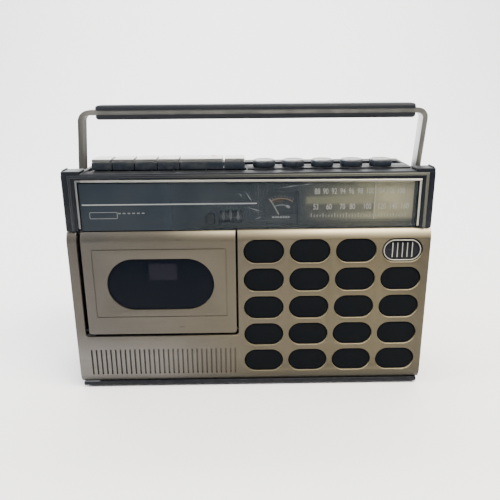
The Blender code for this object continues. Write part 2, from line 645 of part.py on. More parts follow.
def speaker():
    right = HOLE_FIRST_X + (COLUMNS - 1) * HOLE_PITCH_X + HOLE_WIDTH / 2 + 1
    box("grille_cloth", (HOLE_FIRST_X - HOLE_WIDTH / 2 - 1, -45.2, 15), (right, -44.4, 153), "cloth")
    profile = [(10, 30.5), (28, 30.5), (56, 2), (64, 2), (64, 0)]
    profile += [(54.5, 0), (54.5, 1.8), (27, 28.8), (10, 28.8)]
    base = (SPEAKER_X, -44.0, SPEAKER_Z)
    frame = turned("speaker_frame", profile, base, "Y", "steel", steps=32, ring=True)
    magnet = turned("add_magnet", [(0, 46), (27, 46), (27, 30), (0, 30)], base, "Y", steps=32)
    fuse(frame, magnet)
    profile = [(0, 15), (12, 15.5), (53.5, 2.2), (53.5, 1.0), (11.5, 14.0), (0, 13.0)]
    cone = turned("speaker_cone", profile, base, "Y", "paper_cone", steps=32)
    hang(base, "cone_slide", cone)
    left, bottom, right, top = grille_hole(COLUMNS - 1, ROWS - 1)
    loop = stadium(left + GAP, bottom + GAP, right - GAP, top - GAP)
    outline("microphone_badge", [loop], "XZ", -47.8, -45.6, "bright_trim")


# ---------------------------------------------------------------- electronics and power

def electronics():
    board = box("main_circuit_board", (12, 28, 56), (150.2, 29.6, 199), "board")
    tuner = box("add_tuning_capacitor", (112, 8, 165), (134, 28.5, 187))
    coil = box("add_if_coils", (30, 14, 120), (80, 28.5, 132))
    fuse(board, tuner, coil)
    profile = [(0, 70), (4.5, 70), (4.5, 30), (5.5, 30), (5.5, 5), (4.5, 5), (4.5, -70), (0, -70)]
    turned("ferrite_antenna", profile, (0, 18, 190), "X", "ferrite", steps=20)
    transformer = box("power_transformer", (112, 4, 8), (152, 40, 46), "steel")
    fuse(transformer, box("add_winding", (118, 0, 14), (146, 44, 40)))
    inlet = box("ac_inlet", (60, 33, 14), (82, 47.8, 28), "black_plastic")
    hollow = outline("cut_inlet_socket", [stadium(63, 16.5, 79, 25.5)], "XZ", 36, 60)
    carve(inlet, hollow)
    for x in (67, 75):
        fuse(inlet, rod("add_inlet_pin", (x, 35, 21), 10, 1.1, "Y", sides=12))


def battery_compartment():
    case_low = (BATTERY_LEFT - 2, -24, 4.8)
    case = box("battery_case", case_low, (BATTERY_RIGHT + 2, 45.2, 50.3), "black_plastic")
    room = box("cut_battery_room", (BATTERY_LEFT, -22, 6.8), (BATTERY_RIGHT, 60, BATTERY_TOP))
    carve(case, room)
    low = (BATTERY_LEFT + GAP, 45.8, 6.8 + GAP)
    door = box("battery_door", low, (BATTERY_RIGHT - GAP, 47.9, 48 - GAP), "black_plastic")
    hang((BATTERY_LEFT / 2, BATTERY_DOOR_Y, BATTERY_DOOR_Z), "battery_door_axis", door)


def telescopic_antenna():
    base_profile = [(0, 205.3), (4.7, 205.3), (4.7, 203.3), (0, 203.3)]
    base = turned("antenna_base", base_profile, (ANTENNA_X, ANTENNA_Y, 0), "Z", "bright_trim", steps=20)
    fuse(base, box("add_tongue", (144.3, 41.9, 205), (150.5, 44.1, 211.2), edge=1.0))
    tube = box("antenna_tube", (140.5, 40, 206), (ANTENNA_X, 46, 212), "bright_trim", edge=0.8)
    eye = rod("add_antenna_eye", (ANTENNA_X, 40, ANTENNA_Z), 6, 2.95, "Y", sides=20)
    barrel = rod("add_antenna_barrel", (0, ANTENNA_Y, ANTENNA_Z), 141.5, 2.9, "X", sides=20)
    slot = box("cut_antenna_slot", (143, 41.6, 200), (160, 44.4, 220))
    bore = rod("cut_antenna_bore", (-5, ANTENNA_Y, ANTENNA_Z), 143.6, 2.4, "X", sides=20)
    fuse(tube, eye, barrel)
    carve(tube, slot, bore)
    middle = rod("antenna_middle", (-4, ANTENNA_Y, ANTENNA_Z), 142, 2.05, "X", "bright_trim", sides=20)
    carve(middle, rod("cut_middle_bore", (-8, ANTENNA_Y, ANTENNA_Z), 143, 1.6, "X", sides=20))
    profile = [(0, 142), (1.25, 142), (1.25, 6), (2.9, 6), (2.9, 1), (1.9, 0), (0, 0)]
    tip = turned("antenna_tip", profile, (-14, ANTENNA_Y, ANTENNA_Z), "X", "bright_trim", steps=20)
    hang((ANTENNA_X, ANTENNA_Y, ANTENNA_Z), "antenna_axis", base, tube, middle, tip)


clear_scene()
PARTS = new_collection("radio_cassette_recorder")
CUTTERS = new_collection("cutters")
front_panel()
rear_cabinet()
dial_bezel()
dial_trim()
dial_glass()
dial_scale_plate()
dial_pointer()
signal_meter()
tape_counter()
top_deck()
piano_keys()
knobs()
handle()
cassette_door()
cassette_well()
tape_drive()
head_assembly()
speaker()
electronics()
battery_compartment()
telescopic_antenna()
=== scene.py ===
"""Looks of the portable radio cassette recorder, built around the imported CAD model.

Lengths are in millimetres and MM turns them into Blender's metres. X is to the right of the
front, Y from the front to the back, Z up.
"""

import math

import bmesh
import bpy
from mathutils import Matrix, Vector


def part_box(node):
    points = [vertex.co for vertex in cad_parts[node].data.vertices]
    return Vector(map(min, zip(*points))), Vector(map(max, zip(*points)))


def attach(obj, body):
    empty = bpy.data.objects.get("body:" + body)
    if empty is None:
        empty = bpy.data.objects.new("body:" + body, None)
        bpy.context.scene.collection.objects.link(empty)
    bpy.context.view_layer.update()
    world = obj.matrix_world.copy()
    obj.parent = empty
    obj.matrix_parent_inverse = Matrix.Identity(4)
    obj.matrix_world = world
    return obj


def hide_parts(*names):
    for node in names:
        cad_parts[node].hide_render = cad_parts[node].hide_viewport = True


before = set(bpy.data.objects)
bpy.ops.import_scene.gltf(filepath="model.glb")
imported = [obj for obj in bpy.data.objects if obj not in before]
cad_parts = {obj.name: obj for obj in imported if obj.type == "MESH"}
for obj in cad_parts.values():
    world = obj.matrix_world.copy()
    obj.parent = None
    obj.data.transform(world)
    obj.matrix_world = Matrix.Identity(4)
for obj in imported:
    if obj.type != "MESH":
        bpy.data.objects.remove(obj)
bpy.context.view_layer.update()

MM = 0.001
WALL = 2.5


def corners(node):
    """The lowest and highest corner of a CAD node, in millimetres."""
    low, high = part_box(node)
    return Vector(low) / MM, Vector(high) / MM


# ---------------------------------------------------------------- camera, lights, floor

def make_camera():
    """Stands half a metre in front of the case and looks slightly down on it."""
    front = corners("front_panel")[0].y
    data = bpy.data.cameras.new("camera")
    data.sensor_width = 36
    data.lens = 39.67
    camera = new_object("camera", data)
    pitch = math.radians(17.32)
    yaw = math.radians(0.74)
    roll = math.radians(-0.45)
    forward = Vector((math.sin(yaw) * math.cos(pitch), math.cos(yaw) * math.cos(pitch), -math.sin(pitch)))
    right = Vector((math.cos(yaw), -math.sin(yaw), 0))
    up = right.cross(forward)
    turned_right = math.cos(roll) * right + math.sin(roll) * up
    turned_up = -math.sin(roll) * right + math.cos(roll) * up
    place = Vector((-5.9, front - 485.2, 293.8)) * MM
    axes = Matrix((turned_right, turned_up, -forward)).transposed().to_4x4()
    camera.matrix_world = Matrix.Translation(place) @ axes
    bpy.context.scene.camera = camera


def make_light(name, place, target, size, power, colour):
    data = bpy.data.lights.new(name, "AREA")
    data.shape = "RECTANGLE"
    data.size, data.size_y = size
    data.energy = power
    data.color = colour
    lamp = new_object(name, data)
    lamp.location = place
    lamp.rotation_euler = (Vector(target) - Vector(place)).to_track_quat("-Z", "Y").to_euler()


def make_stage():
    """White surroundings, brightest overhead, a pale floor that curves up behind, and three soft lights."""
    world = bpy.data.worlds.new("studio")
    bpy.context.scene.world = world
    world.use_nodes = True
    tree = world.node_tree
    background = tree.nodes["Background"]
    direction = tree.nodes.new("ShaderNodeTexCoord").outputs["Generated"]
    strength = map_range(tree, split_axis(tree, direction, "Z"), 0.05, 0.85, 0.22, 1.5)
    tree.links.new(strength, background.inputs["Strength"])
    background.inputs["Color"].default_value = (0.95, 0.97, 1.0, 1.0)
    sweep = [(-0.7, 0.0), (1.2, 0.0)]
    sweep += [(1.2 + math.sin(math.radians(a)), 1.0 - math.cos(math.radians(a))) for a in range(10, 91, 10)]
    sweep.append((2.2, 3.0))
    cage = bmesh.new()
    rails = [[cage.verts.new((x, y, z)) for y, z in sweep] for x in (-4, 4)]
    for i in range(len(sweep) - 1):
        cage.faces.new((rails[0][i], rails[0][i + 1], rails[1][i + 1], rails[1][i]))
    bmesh.ops.recalc_face_normals(cage, faces=cage.faces)
    floor = new_object("floor", finished_mesh("floor", cage))
    floor.data.shade_smooth()
    floor.data.materials.append(Paint("floor", (0.92, 0.92, 0.92), 0.9).material)
    make_light("top_light", (0.45, -0.55, 1.15), (0.06, 0, 0.18), (1.0, 0.45), 40, (1.0, 0.92, 0.78))
    make_light("left_light", (-1.3, -0.25, 0.8), (0, 0, 0.15), (0.7, 0.9), 26, (0.93, 0.95, 1.0))
    make_light("back_light", (0.0, 0.9, 1.7), (0, 1.9, 0.5), (2.8, 0.8), 95, (1.0, 1.0, 1.0))


# ---------------------------------------------------------------- material tools

def split_axis(tree, vector, axis):
    """One of the three numbers in a vector."""
    split = tree.nodes.new("ShaderNodeSeparateXYZ")
    tree.links.new(vector, split.inputs["Vector"])
    return split.outputs[axis]


def map_range(tree, source, first, last, low, high):
    node = tree.nodes.new("ShaderNodeMapRange")
    for name, value in (("From Min", first), ("From Max", last), ("To Min", low), ("To Max", high)):
        node.inputs[name].default_value = value
    tree.links.new(source, node.inputs["Value"])
    return node.outputs["Result"]


class Paint:
    """A material being built: its Principled shader and the nodes that feed it."""

    def __init__(self, name, colour, roughness=0.5, metallic=0.0, shine=0.5):
        self.material = bpy.data.materials.new(name)
        self.material.use_nodes = True
        self.tree = self.material.node_tree
        self.shader = self.tree.nodes["Principled BSDF"]
        self.shader.inputs["Base Color"].default_value = (*colour, 1)
        self.shader.inputs["Roughness"].default_value = roughness
        self.shader.inputs["Metallic"].default_value = metallic
        self.shader.inputs["Specular IOR Level"].default_value = shine
        self.colour_out = None
        self.height = None
        places = self.tree.nodes.new("ShaderNodeTexCoord").outputs
        self.coords = places["Object"]
        self.normals = places["Normal"]
        self.base = colour

    def link(self, source, target):
        self.tree.links.new(source, target)

    def stretched(self, scale):
        mapping = self.tree.nodes.new("ShaderNodeMapping")
        mapping.inputs["Scale"].default_value = scale
        self.link(self.coords, mapping.inputs["Vector"])
        return mapping.outputs["Vector"]

    def noise(self, scale, detail=3.0, stretch=None, roughness=0.5):
        node = self.tree.nodes.new("ShaderNodeTexNoise")
        node.inputs["Scale"].default_value = scale
        node.inputs["Detail"].default_value = detail
        node.inputs["Roughness"].default_value = roughness
        self.link(self.stretched(stretch) if stretch else self.coords, node.inputs["Vector"])
        return node.outputs["Fac"]

    def ramp(self, source, first, last, high=1.0, low=0.0):
        """Runs from low to high while the source runs from first to last."""
        return map_range(self.tree, source, first, last, low, high)

    def along(self, axis, first, last, high=1.0, low=0.0):
        """A ramp between two places on an axis, in millimetres."""
        return self.ramp(split_axis(self.tree, self.coords, axis), first * MM, last * MM, high, low)

    def facing(self, axis, first, last, high=1.0, low=0.0):
        """A ramp over how much a face points along one of the piece's own axes."""
        return self.ramp(split_axis(self.tree, self.normals, axis), first, last, high, low)

    def both(self, *factors):
        """One where all the factors are one."""
        result = factors[0]
        for factor in factors[1:]:
            node = self.tree.nodes.new("ShaderNodeMath")
            node.operation = "MULTIPLY"
            self.link(result, node.inputs[0])
            self.link(factor, node.inputs[1])
            result = node.outputs["Value"]
        return result

    def patch(self, left, bottom, right, top, amount, soft=0.6):
        """An upright rectangle with soft sides, in millimetres."""
        return self.both(
            self.along("X", left - soft, left + soft), self.along("X", right + soft, right - soft),
            self.along("Z", bottom - soft, bottom + soft), self.along("Z", top + soft, top - soft, amount),
        )

    def tint(self, factor, colour):
        """Mixes a colour over what is there, where the factor is 1."""
        mix = self.tree.nodes.new("ShaderNodeMix")
        mix.data_type = "RGBA"
        if self.colour_out is None:
            mix.inputs["A"].default_value = (*self.base, 1)
        else:
            self.link(self.colour_out, mix.inputs["A"])
        mix.inputs["B"].default_value = (*colour, 1)
        self.link(factor, mix.inputs["Factor"])
        self.colour_out = mix.outputs["Result"]
        self.link(self.colour_out, self.shader.inputs["Base Color"])
        return self

    def vary_roughness(self, factor, low, high):
        self.link(self.ramp(factor, 0.3, 0.7, high, low), self.shader.inputs["Roughness"])
        return self

    def bump(self, source, strength, distance):
        node = self.tree.nodes.new("ShaderNodeBump")
        node.inputs["Strength"].default_value = strength
        node.inputs["Distance"].default_value = distance * MM
        self.link(source, node.inputs["Height"])
        if self.height is not None:
            self.link(self.height, node.inputs["Normal"])
        self.height = node.outputs["Normal"]
        self.link(self.height, self.shader.inputs["Normal"])
        return self

    def worn_edges(self, colour):
        """Lets a colour through on the sharpest edges, broken up by noise: partly rubbed wear, partly a
        painted edge highlight.
        """
        geometry = self.tree.nodes.new("ShaderNodeNewGeometry")
        edge = self.ramp(geometry.outputs["Pointiness"], 0.53, 0.62, 0.5)
        return self.tint(self.both(edge, self.ramp(self.noise(180), 0.4, 0.65)), colour)


def champagne_paint():
    """Satin metallic paint with painted light in its colour: cool grey at the left and olive at the right,
    a painted reflection low at the left, painted shade at the right edge, the bottom right, downward faces
    and inside the grooves, and a painted highlight on edges that face up and on the grooves' right walls.
    """
    paint = Paint("champagne_paint", (0.079, 0.064, 0.036), 0.42, 0.55, 0.3)
    # Painted light: cooler grey towards the left, standing in for the colour of the light falling across
    # the face.
    paint.tint(paint.along("X", 100, -140), (0.053, 0.049, 0.045))
    # Painted reflection: paler low on the left, where the face reflects the bright floor.
    painted_reflection_low_left = paint.both(paint.along("Z", 62, 34, 0.85), paint.along("X", 0, -90))
    paint.tint(painted_reflection_low_left, (0.112, 0.106, 0.102))
    # Painted shade: darker towards the right edge.
    paint.tint(paint.along("X", 118, 165, 0.75), (0.036, 0.030, 0.019))
    # Painted shade: darker along the bottom, most of all at the right.
    painted_shade_low_right = paint.both(paint.along("Z", 34, 8, 0.9), paint.along("X", -100, 30, 1.0, 0.2))
    paint.tint(painted_shade_low_right, (0.022, 0.019, 0.012))
    paint.tint(paint.ramp(paint.noise(9, 4), 0.42, 0.70, 0.35), (0.052, 0.045, 0.029))
    paint.tint(paint.ramp(paint.noise(2600, 1), 0.45, 0.75, 0.30), (0.13, 0.115, 0.085))
    streaks = paint.noise(60, 4, stretch=(0.35, 1.0, 9.0))
    paint.tint(paint.ramp(streaks, 0.54, 0.80, 0.22), (0.036, 0.031, 0.022))
    # Painted highlight: pale warm colour on faces that tilt up, such as the curved top edge, strongest
    # towards the right.
    painted_highlight_up = paint.facing("Z", 0.08, 0.55)
    paint.tint(paint.both(painted_highlight_up, paint.along("X", -80, 140)), (0.44, 0.375, 0.24))
    # Painted shade: darker on faces that tilt down, such as the curved bottom edge.
    paint.tint(paint.facing("Z", -0.10, -0.60, 0.75), (0.016, 0.014, 0.010))
    # Painted shade: dark inside the grooves, fading towards the right.
    groove_rows = paint.both(paint.along("Z", 46, 44), paint.along("Z", 14.5, 15.5))
    painted_groove_shade = paint.both(paint.along("Y", -47.7, -47), groove_rows, paint.along("X", -15, -120, 0.85, 0.12))
    paint.tint(painted_groove_shade, (0.010, 0.010, 0.010))
    # Painted highlight: pale on the grooves' right walls.
    painted_groove_highlight = paint.both(paint.facing("X", -0.25, -0.70), groove_rows, paint.along("X", 0, -20, 0.8))
    paint.tint(painted_groove_highlight, (0.15, 0.14, 0.13))
    chips = paint.ramp(paint.noise(900, 2), 0.55, 0.60)
    paint.tint(paint.both(chips, paint.patch(-68.5, 152.4, -62, 153.6, 0.9)), (0.012, 0.010, 0.008))
    paint.tint(paint.patch(-68, 65.6, -62.5, 66.3, 0.8), (0.014, 0.012, 0.009))
    paint.vary_roughness(paint.noise(35, 5), 0.36, 0.48)
    paint.bump(paint.noise(1500, 2), 0.10, 0.03)
    return paint.material


def black_plastic(name, colour=(0.0026, 0.0037, 0.0068), roughness=0.45, shine=0.14, dust=0.0085):
    """Moulded plastic with fine grain and dust in it, upward faces paler from dust and a painted
    reflection, a painted highlight on upward faces at the far left, and edges paler from rubbing and a
    painted edge highlight.
    """
    paint = Paint(name, colour, roughness, 0.0, shine)
    paint.tint(paint.ramp(paint.noise(14, 5), 0.50, 0.75, 0.35), (dust, dust * 1.06, dust * 1.2))
    paint.tint(paint.ramp(paint.noise(420, 2), 0.62, 0.78, 0.3), (dust * 1.5, dust * 1.55, dust * 1.7))
    # Upward faces paler: partly dust settled on top, partly a painted reflection of the light above.
    paint.tint(paint.facing("Z", 0.6, 0.95, 0.5), (dust * 2.2, dust * 2.3, dust * 2.6))
    # Painted highlight: pale on upward faces at the far left, the top of the left corner block.
    painted_highlight_left_top = paint.both(paint.facing("Z", 0.6, 0.95, 0.8), paint.along("X", -149, -151))
    paint.tint(painted_highlight_left_top, (0.16, 0.17, 0.19))
    paint.vary_roughness(paint.noise(30, 4), roughness - 0.08, roughness + 0.10)
    paint.bump(paint.noise(1100, 2), 0.15, 0.03)
    # Paler edges: partly rubbed wear, partly a painted edge highlight.
    paint.worn_edges((0.045, 0.046, 0.050))
    return paint.material


def ridge_plastic():
    """The bezel's raised band: grainy, with a dull olive painted reflection of warm light that grows to the
    right and fades to black at the left.
    """
    # The olive is a painted reflection of warm light on the glossy band; it fades to the black of the
    # plastic at the left and is strongest at the right.
    paint = Paint("ridge_plastic", (0.034, 0.036, 0.027), 0.36, 0.0, 0.3)
    paint.tint(paint.along("X", 50, -80), (0.0045, 0.0058, 0.0095))
    paint.tint(paint.along("X", -20, 130, 0.6), (0.062, 0.063, 0.050))
    speckle = paint.noise(700, 2)
    paint.tint(paint.ramp(speckle, 0.50, 0.70, 0.35), (0.012, 0.013, 0.012))
    paint.bump(speckle, 0.35, 0.06)
    return paint.material


def smoked_acrylic(name, alpha, colour, haze_colour=(0.036, 0.041, 0.047), shine=0.1):
    """Tinted clear sheet with a patchy haze of wear."""
    paint = Paint(name, colour, 0.42, 0.0, shine)
    paint.shader.inputs["Alpha"].default_value = alpha
    haze = paint.noise(26, 3)
    paint.tint(paint.ramp(haze, 0.44, 0.72, 0.7), haze_colour)
    paint.vary_roughness(haze, 0.38, 0.50)
    return paint


def dial_glass_sheet():
    """Clear over the dial, the meter and the counter, painted dark to the left of them."""
    paint = smoked_acrylic("dial_acrylic", 0.30, (0.022, 0.029, 0.037))
    paint.tint(paint.along("X", -40, -80, 0.62), (0.0055, 0.0090, 0.0140))
    paint.link(paint.along("X", -75, -43, 0.30, 1.0), paint.shader.inputs["Alpha"])
    return paint.material


def window_sheet():
    """Almost black, with the paler patch of a label behind it."""
    paint = smoked_acrylic("window_acrylic", 0.96, (0.0014, 0.0025, 0.0054), (0.0020, 0.0030, 0.0060), 0.05)
    paint.tint(paint.patch(-94, 113.5, -68, 129.5, 0.85), (0.0085, 0.0088, 0.0135))
    return paint.material


def bright_metal(name, colour, roughness=0.24, stretch=(0.05, 1.0, 1.0), stain=0.2, relief=0.10):
    """Drawn or rolled metal: fine lines along its length and small stains."""
    paint = Paint(name, colour, roughness, 1.0)
    lines = paint.noise(2200, 2, stretch=stretch)
    paint.tint(paint.ramp(lines, 0.45, 0.75, 0.4), tuple(c * 0.7 for c in colour))
    paint.tint(paint.ramp(paint.noise(300, 4), 0.66, 0.72, stain), tuple(c * 0.2 for c in colour))
    paint.vary_roughness(paint.noise(90, 4), roughness - 0.05, roughness + 0.12)
    if relief:
        paint.bump(lines, relief, 0.04)
    return paint


def trim_metal():
    """Painted shade: brighter along the top and the right than on the left, and darkest on the left
    upright.
    """
    paint = bright_metal("trim_metal", (0.37, 0.36, 0.32), 0.40, stain=0.15, relief=0.0)
    # Painted shade: darker towards the left.
    paint.tint(paint.along("X", -20, -100, 0.5), (0.30, 0.31, 0.31))
    # Painted shade: darkest on the left upright.
    paint.tint(paint.along("X", -149.5, -150.5, 0.95), (0.14, 0.145, 0.155))
    return paint.material


def handle_metal():
    """Satin bar with painted light: painted shade makes the left leg dull and a painted highlight makes the
    right leg's inner face bright.
    """
    paint = bright_metal("handle_metal", (0.235, 0.23, 0.21), 0.34)
    # Painted shade: the left leg darker.
    paint.tint(paint.along("X", -138, -156, 0.9), (0.034, 0.035, 0.034))
    # Painted highlight: the inner face of the right leg pale.
    painted_highlight_inner_right = paint.both(paint.facing("X", -0.3, -0.8), paint.along("X", 146, 150, 0.9))
    paint.tint(painted_highlight_inner_right, (0.52, 0.51, 0.50))
    # No shine anywhere, and no metal on the left leg, so that the left leg shows only its painted shade.
    paint.shader.inputs["Specular IOR Level"].default_value = 0.0
    paint.link(paint.along("X", -138, -156, 0.0, 1.0), paint.shader.inputs["Metallic"])
    return paint.material


def cap_metal():
    paint = bright_metal("cap_metal", (0.27, 0.27, 0.265), 0.32)
    # Painted reflection: the caps' upward faces near white, as if reflecting the white surroundings.
    paint.tint(paint.facing("Z", 0.45, 0.9, 0.9), (0.80, 0.79, 0.76))
    return paint.material


def knob_metal():
    """Turned discs, a little darker than the keys."""
    return bright_metal("knob_metal", (0.30, 0.30, 0.295), 0.36, (1.0, 1.0, 1.0)).material


def plain_paint(name, colour, roughness=0.5, metallic=0.0, grain=600, depth=0.05):
    """Small inner pieces: their colour with a little mottling and grain."""
    paint = Paint(name, colour, roughness, metallic)
    paint.tint(paint.ramp(paint.noise(60, 4), 0.45, 0.75, 0.4), tuple(c * 0.6 for c in colour))
    paint.vary_roughness(paint.noise(120, 3), max(0.05, roughness - 0.08), min(1.0, roughness + 0.1))
    paint.bump(paint.noise(grain, 2), 0.25, depth)
    return paint.material


def woven_cloth():
    """Tight black weave behind the grille: crossed threads and a little dust."""
    paint = Paint("woven_cloth", (0.0022, 0.0030, 0.0042), 0.85, 0.0, 0.05)
    threads = []
    for axis in ("X", "Z"):
        wave = paint.tree.nodes.new("ShaderNodeTexWave")
        wave.bands_direction = axis
        wave.inputs["Scale"].default_value = 320
        paint.link(paint.coords, wave.inputs["Vector"])
        threads.append(wave.outputs["Fac"])
    weave = paint.both(*threads)
    paint.tint(weave, (0.0042, 0.0052, 0.0066))
    paint.tint(paint.ramp(paint.noise(45, 4), 0.5, 0.8, 0.3), (0.0042, 0.0048, 0.0054))
    paint.bump(weave, 0.4, 0.12)
    return paint.material


def dial_paint():
    """The scale plate: dark at the left, olive gold on the right with a round lower corner."""
    paint = Paint("dial_paint", (0.028, 0.035, 0.042), 0.65, 0.0, 0.1)
    paint.tint(paint.along("X", 44, 68, 0.6), (0.19, 0.18, 0.125))
    paint.tint(paint.along("X", 70, 118, 0.85), (0.66, 0.62, 0.38))
    clouds = paint.noise(34, 4, stretch=(0.6, 1.0, 1.4))
    cloudy = paint.both(paint.ramp(clouds, 0.44, 0.66, 0.45), paint.along("X", 44, 60))
    paint.tint(cloudy, (0.14, 0.14, 0.105))
    paint.tint(paint.patch(52, 183.5, 100, 190.5, 0.6, 1.2), (0.34, 0.33, 0.20))
    paint.tint(paint.patch(50, 175.5, 114, 183.5, 0.55, 1.2), (0.075, 0.078, 0.064))
    paint.tint(paint.along("X", 132, 150, 0.5), (0.26, 0.25, 0.20))
    paint.tint(paint.along("Z", 171, 166.5, 0.8), (0.030, 0.031, 0.028))
    paint.tint(paint.along("X", 149.5, 150.5, 0.9), (0.022, 0.023, 0.022))
    return paint.material


# ---------------------------------------------------------------- shape tools

PLANE_TURN = {
    "XY": Matrix.Identity(4),
    "XZ": Matrix.Rotation(math.pi / 2, 4, "X"),
    "YZ": Matrix(((0, 0, 1, 0), (1, 0, 0, 0), (0, 1, 0, 0), (0, 0, 0, 1))),
}
PLANE_NORMAL = {"XY": 2, "XZ": 1, "YZ": 0}
AXIS_TURN = {
    "X": Matrix.Rotation(math.pi / 2, 4, "Y"),
    "Y": Matrix.Rotation(-math.pi / 2, 4, "X"),
    "Z": Matrix.Identity(4),
}


def arc(u, v, radius, first, last, steps=10):
    points = []
    for i in range(steps + 1):
        angle = math.radians(first + (last - first) * i / steps)
        points.append((u + radius * math.cos(angle), v + radius * math.sin(angle)))
    return points


def rounded(left, bottom, right, top, radius, steps=6):
    points = arc(right - radius, top - radius, radius, 0, 90, steps)
    points += arc(left + radius, top - radius, radius, 90, 180, steps)
    points += arc(left + radius, bottom + radius, radius, 180, 270, steps)
    points += arc(right - radius, bottom + radius, radius, 270, 360, steps)
    return points


def stadium(left, bottom, right, top, steps=24):
    radius = (top - bottom) / 2
    middle = (top + bottom) / 2
    points = arc(right - radius, middle, radius, -90, 90, steps)
    return points + arc(left + radius, middle, radius, 90, 270, steps)


def upright_stadium(x, width, bottom, top):
    radius = width / 2
    return arc(x, top - radius, radius, 0, 180, 8) + arc(x, bottom + radius, radius, 180, 360, 8)


def new_object(name, data):
    obj = bpy.data.objects.new(name, data)
    bpy.context.scene.collection.objects.link(obj)
    return obj


def finished_mesh(name, cage):
    mesh = bpy.data.meshes.new(name)
    cage.to_mesh(mesh)
    cage.free()
    return mesh


def evaluated_mesh(obj):
    depsgraph = bpy.context.evaluated_depsgraph_get()
    return bpy.data.meshes.new_from_object(obj.evaluated_get(depsgraph), depsgraph=depsgraph)


def clean(mesh):
    """Welds the seams that a filled curve leaves, and turns all faces outwards."""
    cage = bmesh.new()
    cage.from_mesh(mesh)
    bmesh.ops.remove_doubles(cage, verts=cage.verts, dist=0.000001)
    bmesh.ops.recalc_face_normals(cage, faces=cage.faces)
    cage.to_mesh(mesh)
    cage.free()


def smooth(obj, angle=40):
    obj.data.shade_smooth()
    obj.data.set_sharp_from_angle(angle=math.radians(angle))
    return obj


def plate(name, loops, plane, start, end, edge=0.0):
    """A flat outline with holes and rounded edges; the first loop is the outer one."""
    curve = bpy.data.curves.new(name, "CURVE")
    curve.dimensions = "2D"
    curve.fill_mode = "BOTH"
    curve.extrude = (abs(end - start) / 2 - edge) * MM
    curve.bevel_depth = edge * MM
    curve.bevel_resolution = 2
    curve.offset = -edge * MM
    for i, loop in enumerate(loops):
        points = loop if i == 0 else list(reversed(loop))
        spline = curve.splines.new("POLY")
        spline.points.add(len(points) - 1)
        spline.use_cyclic_u = True
        for point, (u, v) in zip(spline.points, points):
            point.co = (u * MM, v * MM, 0.0, 1.0)
    guide = new_object(name, curve)
    mesh = evaluated_mesh(guide)
    bpy.data.objects.remove(guide)
    turn = PLANE_TURN[plane].copy()
    turn.translation[PLANE_NORMAL[plane]] = (start + end) / 2 * MM
    mesh.transform(turn)
    clean(mesh)
    return smooth(new_object(name, mesh))


def upright_slot(x, width, bottom, top, start, end):
    """A narrow upright cutter with round ends."""
    return plate("slot", [upright_stadium(x, width, bottom, top)], "XZ", start, end)


def block(name, low, high, edge=0.0, segments=3):
    cage = bmesh.new()
    bmesh.ops.create_cube(cage, size=1.0)
    mesh = finished_mesh(name, cage)
    size = (Vector(high) - Vector(low)) * MM
    middle = (Vector(high) + Vector(low)) / 2 * MM
    mesh.transform(Matrix.Translation(middle) @ Matrix.Diagonal((*size, 1.0)))
    obj = new_object(name, mesh)
    if edge:
        round_off(obj, edge, segments)
    return obj


def tube(name, start, length, radius, axis, sides=48, edge=0.0):
    cage = bmesh.new()
    bmesh.ops.create_cone(
        cage, cap_ends=True, segments=sides, radius1=radius * MM, radius2=radius * MM, depth=length * MM
    )
    mesh = finished_mesh(name, cage)
    shift = Vector(start)
    shift["XYZ".index(axis)] += length / 2
    mesh.transform(Matrix.Translation(shift * MM) @ AXIS_TURN[axis])
    obj = smooth(new_object(name, mesh))
    if edge:
        round_off(obj, edge, 2)
    return obj


def lathe(name, profile, base, axis="Z", steps=64):
    """Turns (radius, height) pairs, from the top down, about an axis through base."""
    cage = bmesh.new()
    verts = [cage.verts.new((r * MM, 0, h * MM)) for r, h in profile]
    edges = [cage.edges.new(pair) for pair in zip(verts, verts[1:])]
    bmesh.ops.spin(
        cage, geom=verts + edges, cent=(0, 0, 0), axis=(0, 0, 1), angle=2 * math.pi, steps=steps,
        use_merge=True, use_normal_flip=False
    )
    bmesh.ops.remove_doubles(cage, verts=cage.verts, dist=0.000002)
    bmesh.ops.recalc_face_normals(cage, faces=cage.faces)
    mesh = finished_mesh(name, cage)
    mesh.transform(Matrix.Translation(Vector(base) * MM) @ AXIS_TURN[axis])
    return smooth(new_object(name, mesh))


def round_off(obj, edge, segments=3, angle=40):
    bevel = obj.modifiers.new("Rounded edges", "BEVEL")
    bevel.width = edge * MM
    bevel.segments = segments
    bevel.limit_method = "ANGLE"
    bevel.angle_limit = math.radians(angle)
    bevel.harden_normals = False
    return obj


def bake(obj, angle=40):
    """Applies the modifiers, so that what follows works on the finished shape."""
    mesh = evaluated_mesh(obj)
    obj.modifiers.clear()
    old = obj.data
    obj.data = mesh
    bpy.data.meshes.remove(old)
    return smooth(obj, angle)


def cut(obj, *tools, union=False):
    """Takes each tool out of the piece, or adds it, and removes the tool."""
    for tool in tools:
        modifier = obj.modifiers.new("Cut", "BOOLEAN")
        modifier.operation = "UNION" if union else "DIFFERENCE"
        modifier.solver = "EXACT"
        modifier.object = tool
    bake(obj)
    for tool in tools:
        bpy.data.objects.remove(tool)
    return obj


def join(name, parts):
    """Makes one mesh of several loose pieces that share a material."""
    cage = bmesh.new()
    for part in parts:
        mesh = evaluated_mesh(part)
        mesh.transform(part.matrix_world)
        cage.from_mesh(mesh)
        bpy.data.meshes.remove(mesh)
        bpy.data.objects.remove(part)
    return smooth(new_object(name, finished_mesh(name, cage)))


